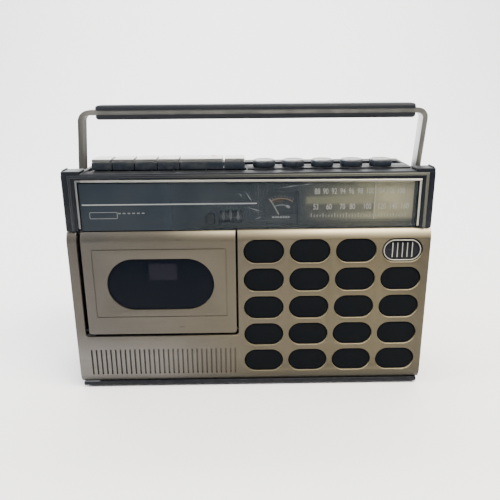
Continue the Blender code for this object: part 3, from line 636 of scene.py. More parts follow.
def arch_frame(name, profile, half_width, top, low, fall=0.0):
    """An n-shaped frame with mitred corners; the profile is (outwards, y) round its section.

    Its top is lower at the right by the fall.
    """
    cage = bmesh.new()
    rings = []
    for out, y in profile:
        path = [(-half_width - out, low), (-half_width - out, top + out)]
        path += [(half_width + out, top + out - fall), (half_width + out, low)]
        rings.append([cage.verts.new((x * MM, y * MM, z * MM)) for x, z in path])
    for first, second in zip(rings, rings[1:] + rings[:1]):
        for i in range(3):
            cage.faces.new((first[i], first[i + 1], second[i + 1], second[i]))
    cage.faces.new([ring[0] for ring in rings])
    cage.faces.new([ring[3] for ring in reversed(rings)])
    bmesh.ops.recalc_face_normals(cage, faces=cage.faces)
    return smooth(new_object(name, finished_mesh(name, cage)), 30)


def put(obj, body, material, slot, *nodes):
    """Gives a piece its body, its finish and the CAD nodes that it replaces; the slot is not used."""
    obj.data.materials.clear()
    obj.data.materials.append(material)
    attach(obj, body)
    if nodes:
        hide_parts(*nodes)
    return obj


CAPITAL_SHARE = 0.70


def figure(text, height, depth, place, swell=0.0):
    """A number of a given height, stood at a place; swell makes its strokes thicker."""
    curve = bpy.data.curves.new("figure", "FONT")
    curve.body = text
    curve.align_x = "CENTER"
    curve.size = height / CAPITAL_SHARE * MM
    curve.offset = swell * MM
    curve.extrude = depth / 2 * MM
    guide = new_object("figure", curve)
    guide.matrix_world = place
    bpy.context.view_layer.update()
    return guide


def letters(name, items, y, depth=0.08):
    """Flat narrow figures that face the front: (text, x of the middle, z of the base, height)."""
    narrow = Matrix.Diagonal((0.70, 1.0, 1.0, 1.0))
    parts = []
    for text, x, z, height in items:
        place = Matrix.Translation(Vector((x, y, z)) * MM) @ PLANE_TURN["XZ"] @ narrow
        parts.append(figure(text, height, depth, place, 0.06))
    return join(name, parts)


def bars(name, boxes, y, depth=0.08):
    """Flat marks that face the front, each (left, bottom, right, top)."""
    parts = []
    for left, bottom, right, top in boxes:
        parts.append(block(name, (left, y - depth / 2, bottom), (right, y + depth / 2, top)))
    return join(name, parts)


# ---------------------------------------------------------------- front panel and door

CASE_TOP = corners("rear_cabinet")[1].z
PANEL_LOW, PANEL_HIGH = corners("front_panel")
FRONT = PANEL_LOW.y
HALF = PANEL_HIGH.x
PANEL_BOTTOM = PANEL_LOW.z
PANEL_TOP = PANEL_HIGH.z
DOOR_LOW, DOOR_HIGH = corners("cassette_door")
EDGE_DROP = 4.0
TOP_CURVE = 10.0
BOTTOM_CURVE = 10.5
HOLE_PITCH = (42.9, 27.95)
HOLE_SIZE = (37.8, 23.0)
HOLE_FIRST = (13.1, 28.8)
GROOVES = 31
GROOVE_SPAN = (-154.6, -14.8)
GROOVE_BOTTOM = 15.5
GROOVE_TOP = 42.5
GROOVE_DEPTH = 1.8


def front_curve(height):
    """Radius and angle of the arc that drops by EDGE_DROP over a height."""
    radius = (EDGE_DROP ** 2 + height ** 2) / (2 * EDGE_DROP)
    return radius, math.degrees(math.asin(height / radius))


def grille_hole(column, row, grow=0.0):
    """Left, bottom, right and top of a hole; columns go to the right and rows go up."""
    x = HOLE_FIRST[0] + column * HOLE_PITCH[0]
    z = HOLE_FIRST[1] + row * HOLE_PITCH[1]
    wide = HOLE_SIZE[0] / 2 + grow
    tall = HOLE_SIZE[1] / 2 + grow
    return x - wide, z - tall, x + wide, z + tall


def every_hole():
    """Column and row of each; the last one, at the top right, holds the badge."""
    return [(column, row) for column in range(4) for row in range(5)]


def front_panel(paint):
    """The painted shell, curved back at its top and bottom edges, with holes and grooves."""
    top_radius, top_angle = front_curve(TOP_CURVE)
    low_radius, low_angle = front_curve(BOTTOM_CURVE)
    side = [(PANEL_HIGH.y, PANEL_BOTTOM), (PANEL_HIGH.y, PANEL_TOP)]
    side += arc(FRONT + top_radius, PANEL_TOP - TOP_CURVE, top_radius, 180 - top_angle, 180, 12)
    side += arc(FRONT + low_radius, PANEL_BOTTOM + BOTTOM_CURVE, low_radius, 180, 180 + low_angle, 12)
    panel = plate("front_panel_shell", [side], "YZ", -HALF, HALF)
    hollow = block("hollow", (-HALF + WALL, FRONT + WALL, 12), (HALF - WALL, 0, 155.5))
    opening = plate("opening", [rounded(-158.7, 56, -11, 190, 3.4)], "XZ", FRONT - 10, 0)
    holes = plate("holes", [stadium(*grille_hole(*spot)) for spot in every_hole()], "XZ", -60, -40)
    for tool in (hollow, opening, holes):
        cut(panel, tool)
    round_off(panel, 0.8, 3, 50)
    bake(panel)
    step = (GROOVE_SPAN[1] - GROOVE_SPAN[0]) / (GROOVES - 1)
    grooves = []
    for i in range(GROOVES):
        x = GROOVE_SPAN[0] + i * step
        grooves.append(upright_slot(x, 1.5, GROOVE_BOTTOM, GROOVE_TOP, FRONT - 1, FRONT + GROOVE_DEPTH))
    cut(panel, join("grooves", grooves))
    put(panel, "cabinet", paint, "champagne_paint", "front_panel")


def cassette_door(paint, plastic):
    """Follows the panel's curve, with a window, a fine engraved line and two hinge lugs."""
    radius, angle = front_curve(TOP_CURVE)
    centre_z = PANEL_TOP - TOP_CURVE
    side = [(FRONT, DOOR_LOW.z)]
    side += arc(FRONT + radius, centre_z, radius, 180, 180 - angle + 1.5, 12)
    side += [(-42.3, DOOR_HIGH.z)]
    side += arc(FRONT + radius, centre_z, radius - WALL, 180 - angle, 180, 10)
    side.append((FRONT + WALL, DOOR_LOW.z))
    door = plate("cassette_door_shell", [side], "YZ", DOOR_LOW.x, DOOR_HIGH.x)
    frame_loop = rounded(DOOR_LOW.x - 5, DOOR_LOW.z - 5, DOOR_HIGH.x + 5, 200, 1)
    keep_loop = rounded(DOOR_LOW.x, DOOR_LOW.z, DOOR_HIGH.x, 190, 2.6)
    trimmer = plate("trimmer", [frame_loop, keep_loop], "XZ", FRONT - 5, FRONT + 9)
    low, high = corners("door_window")
    gap = 0.3
    loop = stadium(low.x - gap, low.z - gap, high.x + gap, high.z + gap, 36)
    cut(door, trimmer)
    cut(door, plate("window", [loop], "XZ", -60, -40))
    round_off(door, 0.5, 3, 50)
    bake(door)
    outer = rounded(-146, 76.5, -21.5, 144.5, 1.0)
    inner = rounded(-145.1, 77.4, -22.4, 143.6, 0.8)
    cut(door, plate("line", [outer, inner], "XZ", FRONT - 1, FRONT + 0.7))
    put(door, "door", paint, "champagne_paint", "cassette_door")
    lugs = []
    for x in (-150, -22):
        lug = block("lug", (x, -45.3, 59.8), (x + 4, -41.5, 63.6), 0.5)
        lugs.append(cut(lug, tube("pin", (x - 1, -43.5, 61.5), 6, 1.3, "X", 24)))
    put(join("door_hinge_lugs", lugs), "door", plastic, "champagne_paint")


def door_window(material):
    low, high = corners("door_window")
    pane = plate("door_window_pane", [stadium(low.x, low.z, high.x, high.z, 36)], "XZ", low.y, high.y, 0.4)
    put(pane, "door", material, "smoked_acrylic", "door_window")


def grille_cloth(material):
    """The cloth and the soft pads that it pulls over, one behind each hole."""
    low, high = corners("grille_cloth")
    sheet = block("grille_cloth_sheet", low, high, 0.2)
    pads = []
    for spot in every_hole()[:-1]:
        left, bottom, right, top = grille_hole(*spot, grow=-0.35)
        pads.append(plate("pad", [stadium(left, bottom, right, top)], "XZ", low.y - 1.9, low.y + 0.4, 1.0))
    sheet = join("grille_cloth_sheet", [sheet, *pads])
    put(sheet, "cabinet", material, "grille_cloth", "grille_cloth")


def microphone_badge(metal, black):
    """A black plate with a bright ring and five bright bars."""
    low, high = corners("microphone_badge")
    base = plate("badge_plate", [stadium(low.x, low.z, high.x, high.z, 32)], "XZ", low.y + 1.6, high.y, 0.2)
    put(base, "cabinet", black, "black_case", "microphone_badge")
    ring_width = 0.85
    loops = []
    for inset in (1.2, 1.2 + ring_width):
        loops.append(stadium(low.x + inset, low.z + inset, high.x - inset, high.z - inset, 40))
    parts = [plate("ring", loops, "XZ", low.y, low.y + 2.0, 0.3)]
    middle = (low.x + high.x) / 2
    for i in range(5):
        x = middle + (i - 2) * 4.55
        loop = upright_stadium(x, ring_width, low.z + 4.2, high.z - 4.2)
        parts.append(plate("bar", [loop], "XZ", low.y + 0.2, low.y + 2.0, 0.3))
    put(join("badge_ring", parts), "cabinet", metal, "bright_trim")


# ---------------------------------------------------------------- dial section

def dial_bezel(plastic, ridge_material):
    """The black upper front, its shoulders and the raised band round the glass."""
    low, high = corners("dial_bezel")
    bezel = block("dial_bezel_shell", low, (high.x, high.y, CASE_TOP))
    round_off(bezel, 1.6, 4)
    bake(bezel)
    cut(bezel, block("hollow", (-164.5, -43, 150), (164.5, 0, CASE_TOP - WALL)))
    cut(bezel, plate("opening", [[(-156, 150), (156, 150), (156, 207.2), (-156, 208.6)]], "XZ", -60, -40))
    for side in (-1, 1):
        ends = sorted((side * 150.2, side * (HALF - 0.4)))
        end = block("end", (ends[0], low.y + 0.4, 211.6), (ends[1], high.y - 0.4, high.z - 1.2), 1.0)
        ends = sorted((side * 164.6, side * (HALF - 1.0)))
        rim = block("rim", (ends[0], low.y + 1.7, 212.6), (ends[1], high.y - 1.5, high.z), 0.9)
        cut(bezel, end, union=True)
        cut(bezel, rim, union=True)
    put(bezel, "cabinet", plastic, "black_case", "dial_bezel")
    half_circle = []
    for i in range(9):
        angle = math.pi * i / 8
        half_circle.append((1.4 - 1.4 * math.cos(angle), -45.35 - 0.9 * math.sin(angle)))
    ridge = arch_frame("bezel_ridge", half_circle, 158.9, 209.6, 161.4)
    put(ridge, "cabinet", ridge_material, "black_case")


TRIM_FALL = 1.6


def dial_trim(metal):
    """A bright line round the top and the sides of the glass, lower at the right."""
    low, high = corners("dial_trim")
    width = 2.0
    half = high.x - width
    top = high.z - width - 0.7
    section = [(0, high.y), (0, low.y + 0.5), (0.5, low.y)]
    section += [(width - 0.5, low.y), (width, low.y + 0.5), (width, high.y)]
    trim = arch_frame("trim_line", section, half, top, low.z, TRIM_FALL)
    put(trim, "cabinet", metal, "bright_trim", "dial_trim")


def dial_glass(material):
    low, high = corners("dial_glass")
    sheet = [(low.x, low.z), (high.x, low.z), (high.x, high.z - 0.7 - TRIM_FALL), (low.x, high.z - 0.7)]
    hole = rounded(-39.4, 166, -31.6, 176, 2.5)
    glass = plate("dial_glass_sheet", [sheet, hole], "XZ", low.y, high.y, 0.3)
    put(glass, "cabinet", material, "smoked_acrylic", "dial_glass")


def dial_plate(material):
    """The scale, cut out for the meter, the counter and the reset button."""
    low, high = corners("dial_scale_plate")
    sheet = rounded(low.x, low.z, high.x, high.z, 0.5)
    loops = [sheet, rounded(15.5, 164.5, 45.5, 196, 1), rounded(-28, 166.5, -6, 178.5, 1)]
    loops.append(rounded(-40, 165.4, -31, 176.6, 2.5))
    body = plate("scale_plate_sheet", loops, "XZ", low.y, high.y)
    put(body, "cabinet", material, "dial_face", "dial_scale_plate")


def dial_print(line, figure_white, faint, seam):
    """A long line, plain shapes and the scale's numbers; there is no name or mark on it."""
    low, high = corners("dial_glass")
    glass_front = low.y - 0.02
    put(bars("print_line", [(-151, 185.0, 7, 186.1)], glass_front), "cabinet", line, "dial_face")
    dashes = [(-119 + i * 4.3, 176.9, -116.6 + i * 4.3, 178.1) for i in range(6)]
    parts = [bars("dashes", dashes, glass_front)]
    pill = [rounded(-145, 172.5, -119.5, 178.9, 1.2), rounded(-144.4, 173.1, -120.1, 178.3, 0.8)]
    parts.append(plate("pill", pill, "XZ", glass_front - 0.04, glass_front + 0.04))
    put(join("print_faint", parts), "cabinet", faint, "dial_face")
    seams = bars("print_seams", [(8.1, 166, 8.6, 203.5), (9.5, 168.9, 150, 169.3)], high.y + 0.12)
    put(seams, "cabinet", seam, "dial_face")
    scale_front = corners("dial_scale_plate")[0].y - 0.1
    upper = ((88, 62), (90, 69.6), (92, 77.4), (94, 85.2), (96, 93))
    upper += ((98, 101), (100, 110), (104, 119.6), (106, 128.6), (108, 138))
    lower = ((53, 61), (60, 73), (70, 85.4), (80, 94.4), (100, 108), (120, 121.4), (140, 132), (160, 142.4))
    figure_height = 5.2
    items = [(str(value), x, 192.9, figure_height) for value, x in upper]
    items += [(str(value), x, 178.6, figure_height) for value, x in lower]
    figures = letters("dial_figures", items, scale_front)
    ticks = []
    for i in range(33):
        x = 57 + i * 2.7
        tall = 3.6 if i % 4 == 0 else 2.2
        ticks.append((x - 0.24, 171.4, x + 0.24, 171.4 + tall))
    parts = [figures, bars("ticks", ticks, scale_front)]
    put(join("dial_scale", parts), "cabinet", figure_white, "dial_face")


def glass_scratches(material):
    """Fine pale scratches on the dial glass, each from its left end to its right end in x and z."""
    front = corners("dial_glass")[0].y
    lines = (
        ((-9.5, 195.5), (-6.5, 191.5)), ((-3.5, 197.0), (3.2, 185.8)), ((-1.5, 182.0), (12.0, 177.5)),
        ((28.0, 199.2), (47.0, 202.4)), ((46.0, 201.4), (58.0, 203.2)), ((5.0, 170.5), (11.0, 173.0)),
    )
    parts = []
    for (left, low), (right, high) in lines:
        along = Vector((right - left, high - low))
        side = Vector((-along.y, along.x)).normalized() * 0.16
        start = Vector((left, low))
        middle = start + along * 0.5
        end = start + along
        loop = [tuple(p) for p in (start, middle - side, end, middle + side)]
        parts.append(plate("scratch", [loop], "XZ", front - 0.03, front + 0.03))
    put(join("glass_scratches", parts), "cabinet", material, "smoked_acrylic")


METER_CARD = -34.05


def arc_band(name, pivot, outer, inner, first, last, steps, back=0.0):
    """A curved band on the meter's card, between two radii and two angles."""
    loop = arc(*pivot, outer, first, last, steps) + arc(*pivot, inner, last, first, steps)
    return plate(name, [loop], "XZ", METER_CARD - 0.25 - back, METER_CARD)


def signal_meter(face_material, orange, brown, needle_material, print_material):
    low, high = corners("signal_meter")
    body = block("meter_case", low, high, 0.6)
    cut(body, block("face", (16, -45, 165), (45, -34, 195.5)))
    put(body, "cabinet", face_material, "white_plastic", "signal_meter")
    pivot = (29.8, 169.0)
    put(arc_band("meter_band", pivot, 19.4, 18.2, 124, 56, 24), "cabinet", orange, "pointer_cream")
    put(arc_band("meter_shade", pivot, 17.8, 15.4, 122, 84, 20, -0.05), "cabinet", brown, "pointer_cream")
    marks = [arc_band("mark", pivot, 12.9, 12.2, 118, 62, 16)]
    marks.append(arc_band("mark", pivot, 13.8, 11.4, 68, 52, 8))
    for i in range(9):
        angle = math.radians(122 - i * 8)
        tick = block("tick", (-0.22, -0.12, -0.9), (0.22, 0.12, 0.9))
        place = Vector((pivot[0] + 20.9 * math.cos(angle), -34.15, pivot[1] + 20.9 * math.sin(angle))) * MM
        tick.data.transform(Matrix.Translation(place) @ Matrix.Rotation(math.pi / 2 - angle, 4, "Y"))
        marks.append(tick)
    put(join("meter_marks", marks), "cabinet", print_material, "white_plastic")
    cover = bars("cover", [(16.6, 165.4, 44.6, 173.4)], -38.9, 0.5)
    put(cover, "cabinet", face_material, "white_plastic")
    label = bars("meter_label", [(21.2 + i * 2.4, 170.4, 22.9 + i * 2.4, 172.0) for i in range(7)], -39.25)
    put(label, "cabinet", print_material, "white_plastic")
    tilt = math.radians(29.2)
    reach = Vector((-math.sin(tilt), math.cos(tilt)))
    side = Vector((reach.y, -reach.x)) * 0.38
    foot = Vector(pivot)
    loop = [foot + side, foot + reach * 22 + side * 0.6, foot + reach * 22 - side * 0.6, foot - side]
    needle = plate("needle_blade", [[tuple(p) for p in loop]], "XZ", -38.0, -37.5, 0.1)
    hub = tube("hub", (pivot[0], -38.4, pivot[1]), 3.6, 1.5, "Y", 32, 0.3)
    put(join("needle_blade", [needle, hub]), "needle", needle_material, "pointer_cream", "meter_needle")


def tape_counter(plastic, drum_material, figure_material):
    """A black case with an axle, and three drums with ten figures each."""
    low, high = corners("counter_housing")
    body = block("counter_case", low, high, 0.4)
    cut(body, block("room", (-27.6, -45, 167), (-6.4, -28.5, 178)))
    axle = tube("axle", (low.x + 0.5, -34.5, 172.5), 23, 0.8, "X", 24)
    put(join("counter_case", [body, axle]), "cabinet", plastic, "black_case", "counter_housing")
    for node in ("hundreds", "tens", "units"):
        low, high = corners("counter_drum_" + node)
        middle = (low + high) / 2
        half = (high.x - low.x) / 2
        profile = [(1.2, half), (4.6, half), (5.0, half - 0.4), (5.0, 0.4 - half)]
        profile += [(4.6, -half), (1.2, -half), (1.2, half)]
        drum = lathe("drum_" + node + "_wheel", profile, middle, "X")
        put(drum, "drum_" + node, drum_material, "white_plastic", "counter_drum_" + node)
        parts = []
        for digit in range(10):
            turn = Matrix.Rotation(math.radians(36 * digit + 6), 4, "X")
            stand = Matrix.Translation(Vector((0, -5.0, -1.8)) * MM) @ PLANE_TURN["XZ"]
            parts.append(figure(str(digit), 3.6, 0.12, Matrix.Translation(middle * MM) @ turn @ stand))
        put(join("drum_" + node + "_figures", parts), "drum_" + node, figure_material, "white_plastic")


def reset_button(plastic):
    low, high = corners("counter_reset_button")
    body = plate("reset_button_cap", [rounded(low.x, low.z, high.x, high.z, 2.2)], "XZ", low.y, high.y, 0.5)
    put(body, "reset_button", plastic, "black_case", "counter_reset_button")


def dial_pointer(material):
    low, high = corners("dial_pointer")
    blade = block("pointer_blade", (low.x, low.y, low.z), (high.x, low.y + 0.6, high.z), 0.15)
    hook = block("hook", (low.x, low.y, high.z - 1.6), high, 0.15)
    put(join("pointer_blade", [blade, hook]), "pointer", material, "pointer_cream", "dial_pointer")


# ---------------------------------------------------------------- top: deck, keys, knobs

KEYS = ("pause", "stop_eject", "rewind", "fast_forward", "record", "play")
KNOBS = ("volume", "tone", "function", "band", "tuning")
STEP_TOP = 214.5


def piano_keys(plastic, metal, red):
    """Black keys with bright caps, each on a post and an arm that turns on the key shaft."""
    for body in KEYS:
        node = body + "_key"
        low, high = corners(node)
        base = block(node + "_body", (low.x, low.y, 213.9), (high.x, -2, high.z - 3.4), 0.35)
        middle = (low.x + high.x) / 2
        post = block("post", (middle - 3, -20, 204), (middle + 3, -6, 216), 0.3)
        arm = block("arm", (middle - 3, -20, 202), (middle + 3, 9.5, 208), 0.3)
        cut(arm, tube("bore", (middle - 5, 6, 205), 10, 1.8, "X", 32))
        put(join(node + "_body", [base, post, arm]), body, plastic, "key_plastic", node)
        inset = 0.55
        cap_low = (low.x + inset, low.y, high.z - 3.5)
        cap = block(node + "_cap", cap_low, (high.x - inset, -2.4, high.z), 0.55, 4)
        put(cap, body, metal, "key_plastic")
        if node == "record_key":
            mark = tube("record_mark", (high.x - 9, -9, high.z - 0.1), 0.25, 2.6, "Z", 40, 0.06)
            put(mark, body, red, "pointer_cream")


def knobs(plastic, metal):
    """Each has a toothed black skirt, a turned metal cap and a black index line."""
    base = STEP_TOP + 0.3
    points = 60 * 4
    for body in KNOBS:
        node = body + "_knob"
        low, high = corners(node)
        middle = (low + high) / 2
        radius = (high.x - low.x) / 2
        cage = bmesh.new()
        rings = []
        for level, grow in ((base, -0.4), (base + 0.4, 0.0), (high.z - 1.5, 0.0), (high.z - 1.1, -0.4)):
            ring = []
            for i in range(points):
                angle = 2 * math.pi * i / points
                bite = 0.28 if i % 4 in (0, 1) else 0.0
                r = radius - 0.15 - bite + grow
                place = (middle.x + r * math.cos(angle), middle.y + r * math.sin(angle), level)
                ring.append(cage.verts.new(Vector(place) * MM))
            rings.append(ring)
        for first, second in zip(rings, rings[1:]):
            for i in range(points):
                j = (i + 1) % points
                cage.faces.new((first[i], first[j], second[j], second[i]))
        cage.faces.new(list(reversed(rings[0])))
        cage.faces.new(rings[-1])
        skirt = smooth(new_object(node + "_skirt", finished_mesh(node + "_skirt", cage)), 25)
        shaft = tube("shaft", (middle.x, middle.y, 201), 15.0, 2.8, "Z", 32, 0.3)
        put(join(node + "_skirt", [skirt, shaft]), body, plastic, "knob_finish", node)
        top = high.z - 1.1
        profile = [(0, 0.75), (radius - 3.4, 0.75), (radius - 2.8, 1.1), (radius - 1.4, 1.1)]
        profile += [(radius - 0.9, 0.9), (radius - 0.75, 0.5), (radius - 0.75, -0.2), (0, -0.2)]
        cap = lathe(node + "_cap", profile, (middle.x, middle.y, top), "Z")
        put(cap, body, metal, "knob_finish")
        line = block(
            node + "_line", (middle.x - 0.45, low.y + 1.2, high.z - 0.25),
            (middle.x + 0.45, low.y + 3.0, high.z), 0.1
        )
        put(line, body, plastic, "knob_finish")


def top_deck(plastic):
    """The deck, its step under the knobs, and the lugs that hold the key shaft."""
    low, high = corners("top_deck")
    deck = block("top_deck_plate", (low.x, low.y, 209), (high.x, high.y, 211.2))
    cut(deck, block("step", (-1, -27, 209.01), (149.4, -3, STEP_TOP)), union=True)
    cut(deck, block("room", (-145.6, -30, 200), (-1.9, -1.5, 220)))
    for body in KNOBS:
        low, high = corners(body + "_knob")
        middle = (low + high) / 2
        cut(deck, tube("hole", (middle.x, middle.y, 200), 20, 3.2, "Z", 32))
    round_off(deck, 0.5, 3)
    bake(deck)
    lugs = []
    for x in (-148.2, 0.4):
        lug = block("lug", (x, 2, 200), (x + 2.6, 10, 209.3))
        lugs.append(cut(lug, tube("hole", (x - 1, 6, 205), 6, 1.8, "X", 24)))
    put(join("top_deck_plate", [deck, *lugs]), "cabinet", plastic, "black_case", "top_deck")


# ---------------------------------------------------------------- handle

PIVOT = (-4.0, 180.0)
LEAN_START = 190.0
LEAN = 5.5
STRAP_THICK = 4.6


def lean(x, z, bar):
    """The strap stands upright at its feet and leans a little to the right above them."""
    return x + LEAN * max(0.0, z - LEAN_START) / (bar - LEAN_START), z


def strap_outline(out, top, bar, grow):
    """The strap's outer line moved outwards by grow, from the right foot to the left one."""
    edge = out + grow
    line = [(edge, PIVOT[1]), (edge, LEAN_START)]
    line += arc(out - 10, top - 10, 10 + grow, 0, 90, 14) + arc(-out + 10, top - 10, 10 + grow, 90, 180, 14)
    line += [(-edge, LEAN_START), (-edge, PIVOT[1])]
    return [lean(x, z, bar) for x, z in line]


def handle(metal, rubber, steel):
    """The strap with its two fine grooves, the grip it runs through, and the slotted pivot screws."""
    low, high = corners("handle_strap")
    out = -low.x
    top = high.z
    bar = top - STRAP_THICK / 2
    outer = strap_outline(out, top, bar, 0.0)
    inner = strap_outline(out, top, bar, -STRAP_THICK)[::-1]
    strap = plate("handle_strip", [outer + inner], "XZ", low.y, high.y)
    for x in (-out, out - STRAP_THICK):
        cut(strap, tube("eye", (x, PIVOT[0], PIVOT[1]), STRAP_THICK, 7.0, "X", 48), union=True)
    cut(strap, tube("bore", (-170, PIVOT[0], PIVOT[1]), 340, 2.5, "X", 40))
    ring = strap_outline(out, top, bar, 0.6)[1:-1] + strap_outline(out, top, bar, -0.7)[-2:0:-1]
    for y in (PIVOT[0] - 3.4, PIVOT[0] + 3.4):
        cut(strap, plate("groove", [ring], "XZ", y - 0.5, y + 0.5))
    round_off(strap, 0.5, 3, 35)
    bake(strap, 30)
    put(strap, "handle", metal, "handle_aluminium", "handle_strap")
    low, high = corners("handle_grip")
    grip = block("grip_sleeve", low, high)
    round_off(grip, 2.8, 5)
    bake(grip)
    cut(grip, block("slot", (low.x - 5, -10.6, bar - 2.6), (high.x + 5, 3.3, bar + 2.6)))
    cut(grip, block("mouth", (low.x - 5, -20, bar - 2.0), (high.x + 5, -10, bar + 2.0)))
    for side in (1, -1):
        x = high.x if side > 0 else low.x
        for level, turn in ((high.z, 1), (low.z, -1)):
            wedge = block("wedge", (-6, -20, -3), (6, 20, 3))
            place = Matrix.Translation(Vector((x + side * 1.0, 0, level + turn * 1.9)) * MM)
            wedge.data.transform(place @ Matrix.Rotation(math.radians(38 * side * turn), 4, "Y"))
            cut(grip, wedge)
    round_off(grip, 0.5, 3, 30)
    bake(grip)
    put(grip, "handle", rubber, "grip_black", "handle_grip")
    for node, side in (("handle_pivot_left", -1), ("handle_pivot_right", 1)):
        profile = [(0, 10.9), (1.1, 10.9), (1.2, 11.3), (4.4, 11.3), (5.3, 10.9), (5.5, 10.2), (5.5, 10.0)]
        profile += [(2.2, 10.0), (2.2, 0), (0, 0)]
        screw = lathe(node + "_screw", profile, (152.4, 0, 0), "X")
        cut(screw, block("slot", (162.9, -4.2, -0.5), (170, 4.2, 0.5)))
        turn = Matrix.Rotation(math.pi if side < 0 else 0.0, 4, "Z")
        screw.data.transform(Matrix.Translation(Vector((0, PIVOT[0], PIVOT[1])) * MM) @ turn)
        put(screw, "cabinet", steel, "steel", node)


# ---------------------------------------------------------------- back shell

def rear_cabinet(plastic, steel):
    """The back shell with its openings, vents, screws and jacks, the lip under the front, and four feet."""
    high = corners("rear_cabinet")[1]
    front = PANEL_HIGH.y + 0.3
    shell = block("back_shell", (-HALF, front, 2), (HALF, high.y, high.z))
    round_off(shell, 1.8, 4)
    bake(shell)
    spaces = (
        ("room", (-HALF + WALL, front - 5, 4.5), (HALF - WALL, 45.5, 162.5)),
        ("upper_room", (-151, front - 5, 162), (151, 45.5, 200.5)),
        ("top_room", (-151, front - 5, 200), (151, 35.2, high.z - WALL)),
        ("bezel_seat", (-HALF - 5, front - 5, PANEL_TOP), (HALF + 5, -27.2, 220)),
        ("left_handle_recess", (-HALF - 5, -13.5, 165), (-153.5, 60, 220)),
        ("right_handle_recess", (153.5, -13.5, 165), (HALF + 5, 60, 220)),
        ("deck_seat", (-149.7, -30, 205), (149.7, 21, 220)),
        ("antenna_groove", (-155, 37.7, 203), (HALF, 60, 220)),
        ("battery_opening", (-136, 40, 6.8), (0, 60, 48)),
        ("mains_socket", (59.7, 40, 13.7), (82.3, 60, 28.3)),
    )
    for space in spaces:
        cut(shell, block(*space))
    for x in (-157.1, 152.1):
        cut(shell, tube("boss", (x, *PIVOT), 5, 6, "X", 40), union=True)
    cut(shell, tube("bore", (-HALF, *PIVOT), 2 * HALF, 2.5, "X", 32))
    round_off(shell, 0.7, 3, 50)
    bake(shell)
    depth = high.y - 1.2
    vents = []
    for row in range(6):
        for column in range(18):
            z = 96 + row * 14
            vents.append(upright_slot(20 + column * 7.4, 2.2, z, z + 10, depth, high.y + 2))
    cut(shell, join("vents", vents))
    screw_spots = [(-155, 190), (155, 190), (-155, 56), (155, 12), (40, 56), (-60, 190), (60, 190)]
    wells = [tube("well", (x, depth - 0.6, z), 5, 4.2, "Y", 40) for x, z in screw_spots]
    cut(shell, join("wells", wells))
    cut(shell, plate("label", [rounded(-120, 90, -20, 140, 3)], "XZ", high.y - 0.5, high.y + 3))
    jacks = {100: 2.2, 113: 2.2, 126: 1.6, 139: 2.2}
    holes = [tube("jack", (x, high.y - 1.5, 66), 5, radius, "Y", 40) for x, radius in jacks.items()]
    cut(shell, join("jacks", holes))
    lip = block("lip", (-HALF + 1.5, -46, 2.2), (HALF - 1.5, front + 5, 6.7), 1.0)
    feet = []
    for x in (-140, 140):
        for y in (-34, 36):
            feet.append(block("foot", (x - 11, y - 6, 0), (x + 11, y + 6, 3.5), 0.8))
    shell = join("back_shell", [shell, lip, *feet])
    put(shell, "cabinet", plastic, "black_case", "rear_cabinet")
    heads = []
    for x, z in screw_spots:
        profile = [(0, 1.4), (1.6, 1.35), (2.8, 0.9), (3.1, 0.3), (3.1, 0), (0, 0)]
        head = lathe("head", profile, (x, depth - 0.6, z), "Y", 40)
        for turn in (0, 90):
            arm = block("cross", (-2.0, -0.3, -0.3), (2.0, 2.2, 0.3))
            place = Matrix.Translation(Vector((x, depth + 0.1, z)) * MM)
            arm.data.transform(place @ Matrix.Rotation(math.radians(turn + 20), 4, "Y"))
            cut(head, arm)
        heads.append(head)
    put(join("case_screws", heads), "cabinet", steel, "steel")
    rings = []
    for x in jacks:
        profile = [(3.6, 0.6), (3.9, 0.3), (3.9, 0), (2.4, 0), (2.4, 0.6), (3.6, 0.6)]
        rings.append(lathe("collar", profile, (x, high.y - 0.65, 66), "Y", 40))
    put(join("jack_collars", rings), "cabinet", steel, "steel")


def battery_door(plastic):
    """A plain cover with ribs for the thumb."""
    low, high = corners("battery_door")
    door = plate("battery_cover", [rounded(low.x, low.z, high.x, high.z, 1.5)], "XZ", low.y, high.y, 0.4)
    ribs = []
    for i in range(9):
        ribs.append(upright_slot(-88 + i * 5, 1.8, 34, 44, high.y - 0.7, high.y + 1))
    cut(door, join("ribs", ribs))
    put(door, "battery_cover", plastic, "black_case", "battery_door")


# ---------------------------------------------------------------- pieces kept from the CAD

def refine(node, material, edge=0.3, segments=2):
    """Keeps a CAD piece, welds its facets into faces and rounds its edges."""
    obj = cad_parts[node]
    weld = obj.modifiers.new("Weld", "WELD")
    weld.merge_threshold = 0.00001
    flat = obj.modifiers.new("Flatten", "DECIMATE")
    flat.decimate_type = "DISSOLVE"
    flat.angle_limit = math.radians(1)
    if edge:
        round_off(obj, edge, segments, 40)
    obj.data.materials.clear()
    obj.data.materials.append(material)
    for polygon in obj.data.polygons:
        polygon.use_smooth = False


make_camera()
make_stage()
PAINT = champagne_paint()
BLACK = black_plastic("black_plastic")
GLOSSY_BLACK = black_plastic("glossy_black", (0.0120, 0.0170, 0.0260), 0.30, 0.25, 0.012)
RUBBER_BLACK = black_plastic("grip_black", (0.0060, 0.0078, 0.0118), 0.55, 0.18, 0.011)
TRIM = trim_metal()
ALUMINIUM = handle_metal()
CAP_METAL = cap_metal()
STEEL = plain_paint("steel", (0.28, 0.28, 0.29), 0.32, 1.0)
WHITE_PRINT = plain_paint("white_print", (0.42, 0.44, 0.45), 0.5)
PALE_PRINT = plain_paint("pale_print", (0.66, 0.65, 0.56), 0.5)
DIM_PRINT = plain_paint("dim_print", (0.20, 0.215, 0.22), 0.5)
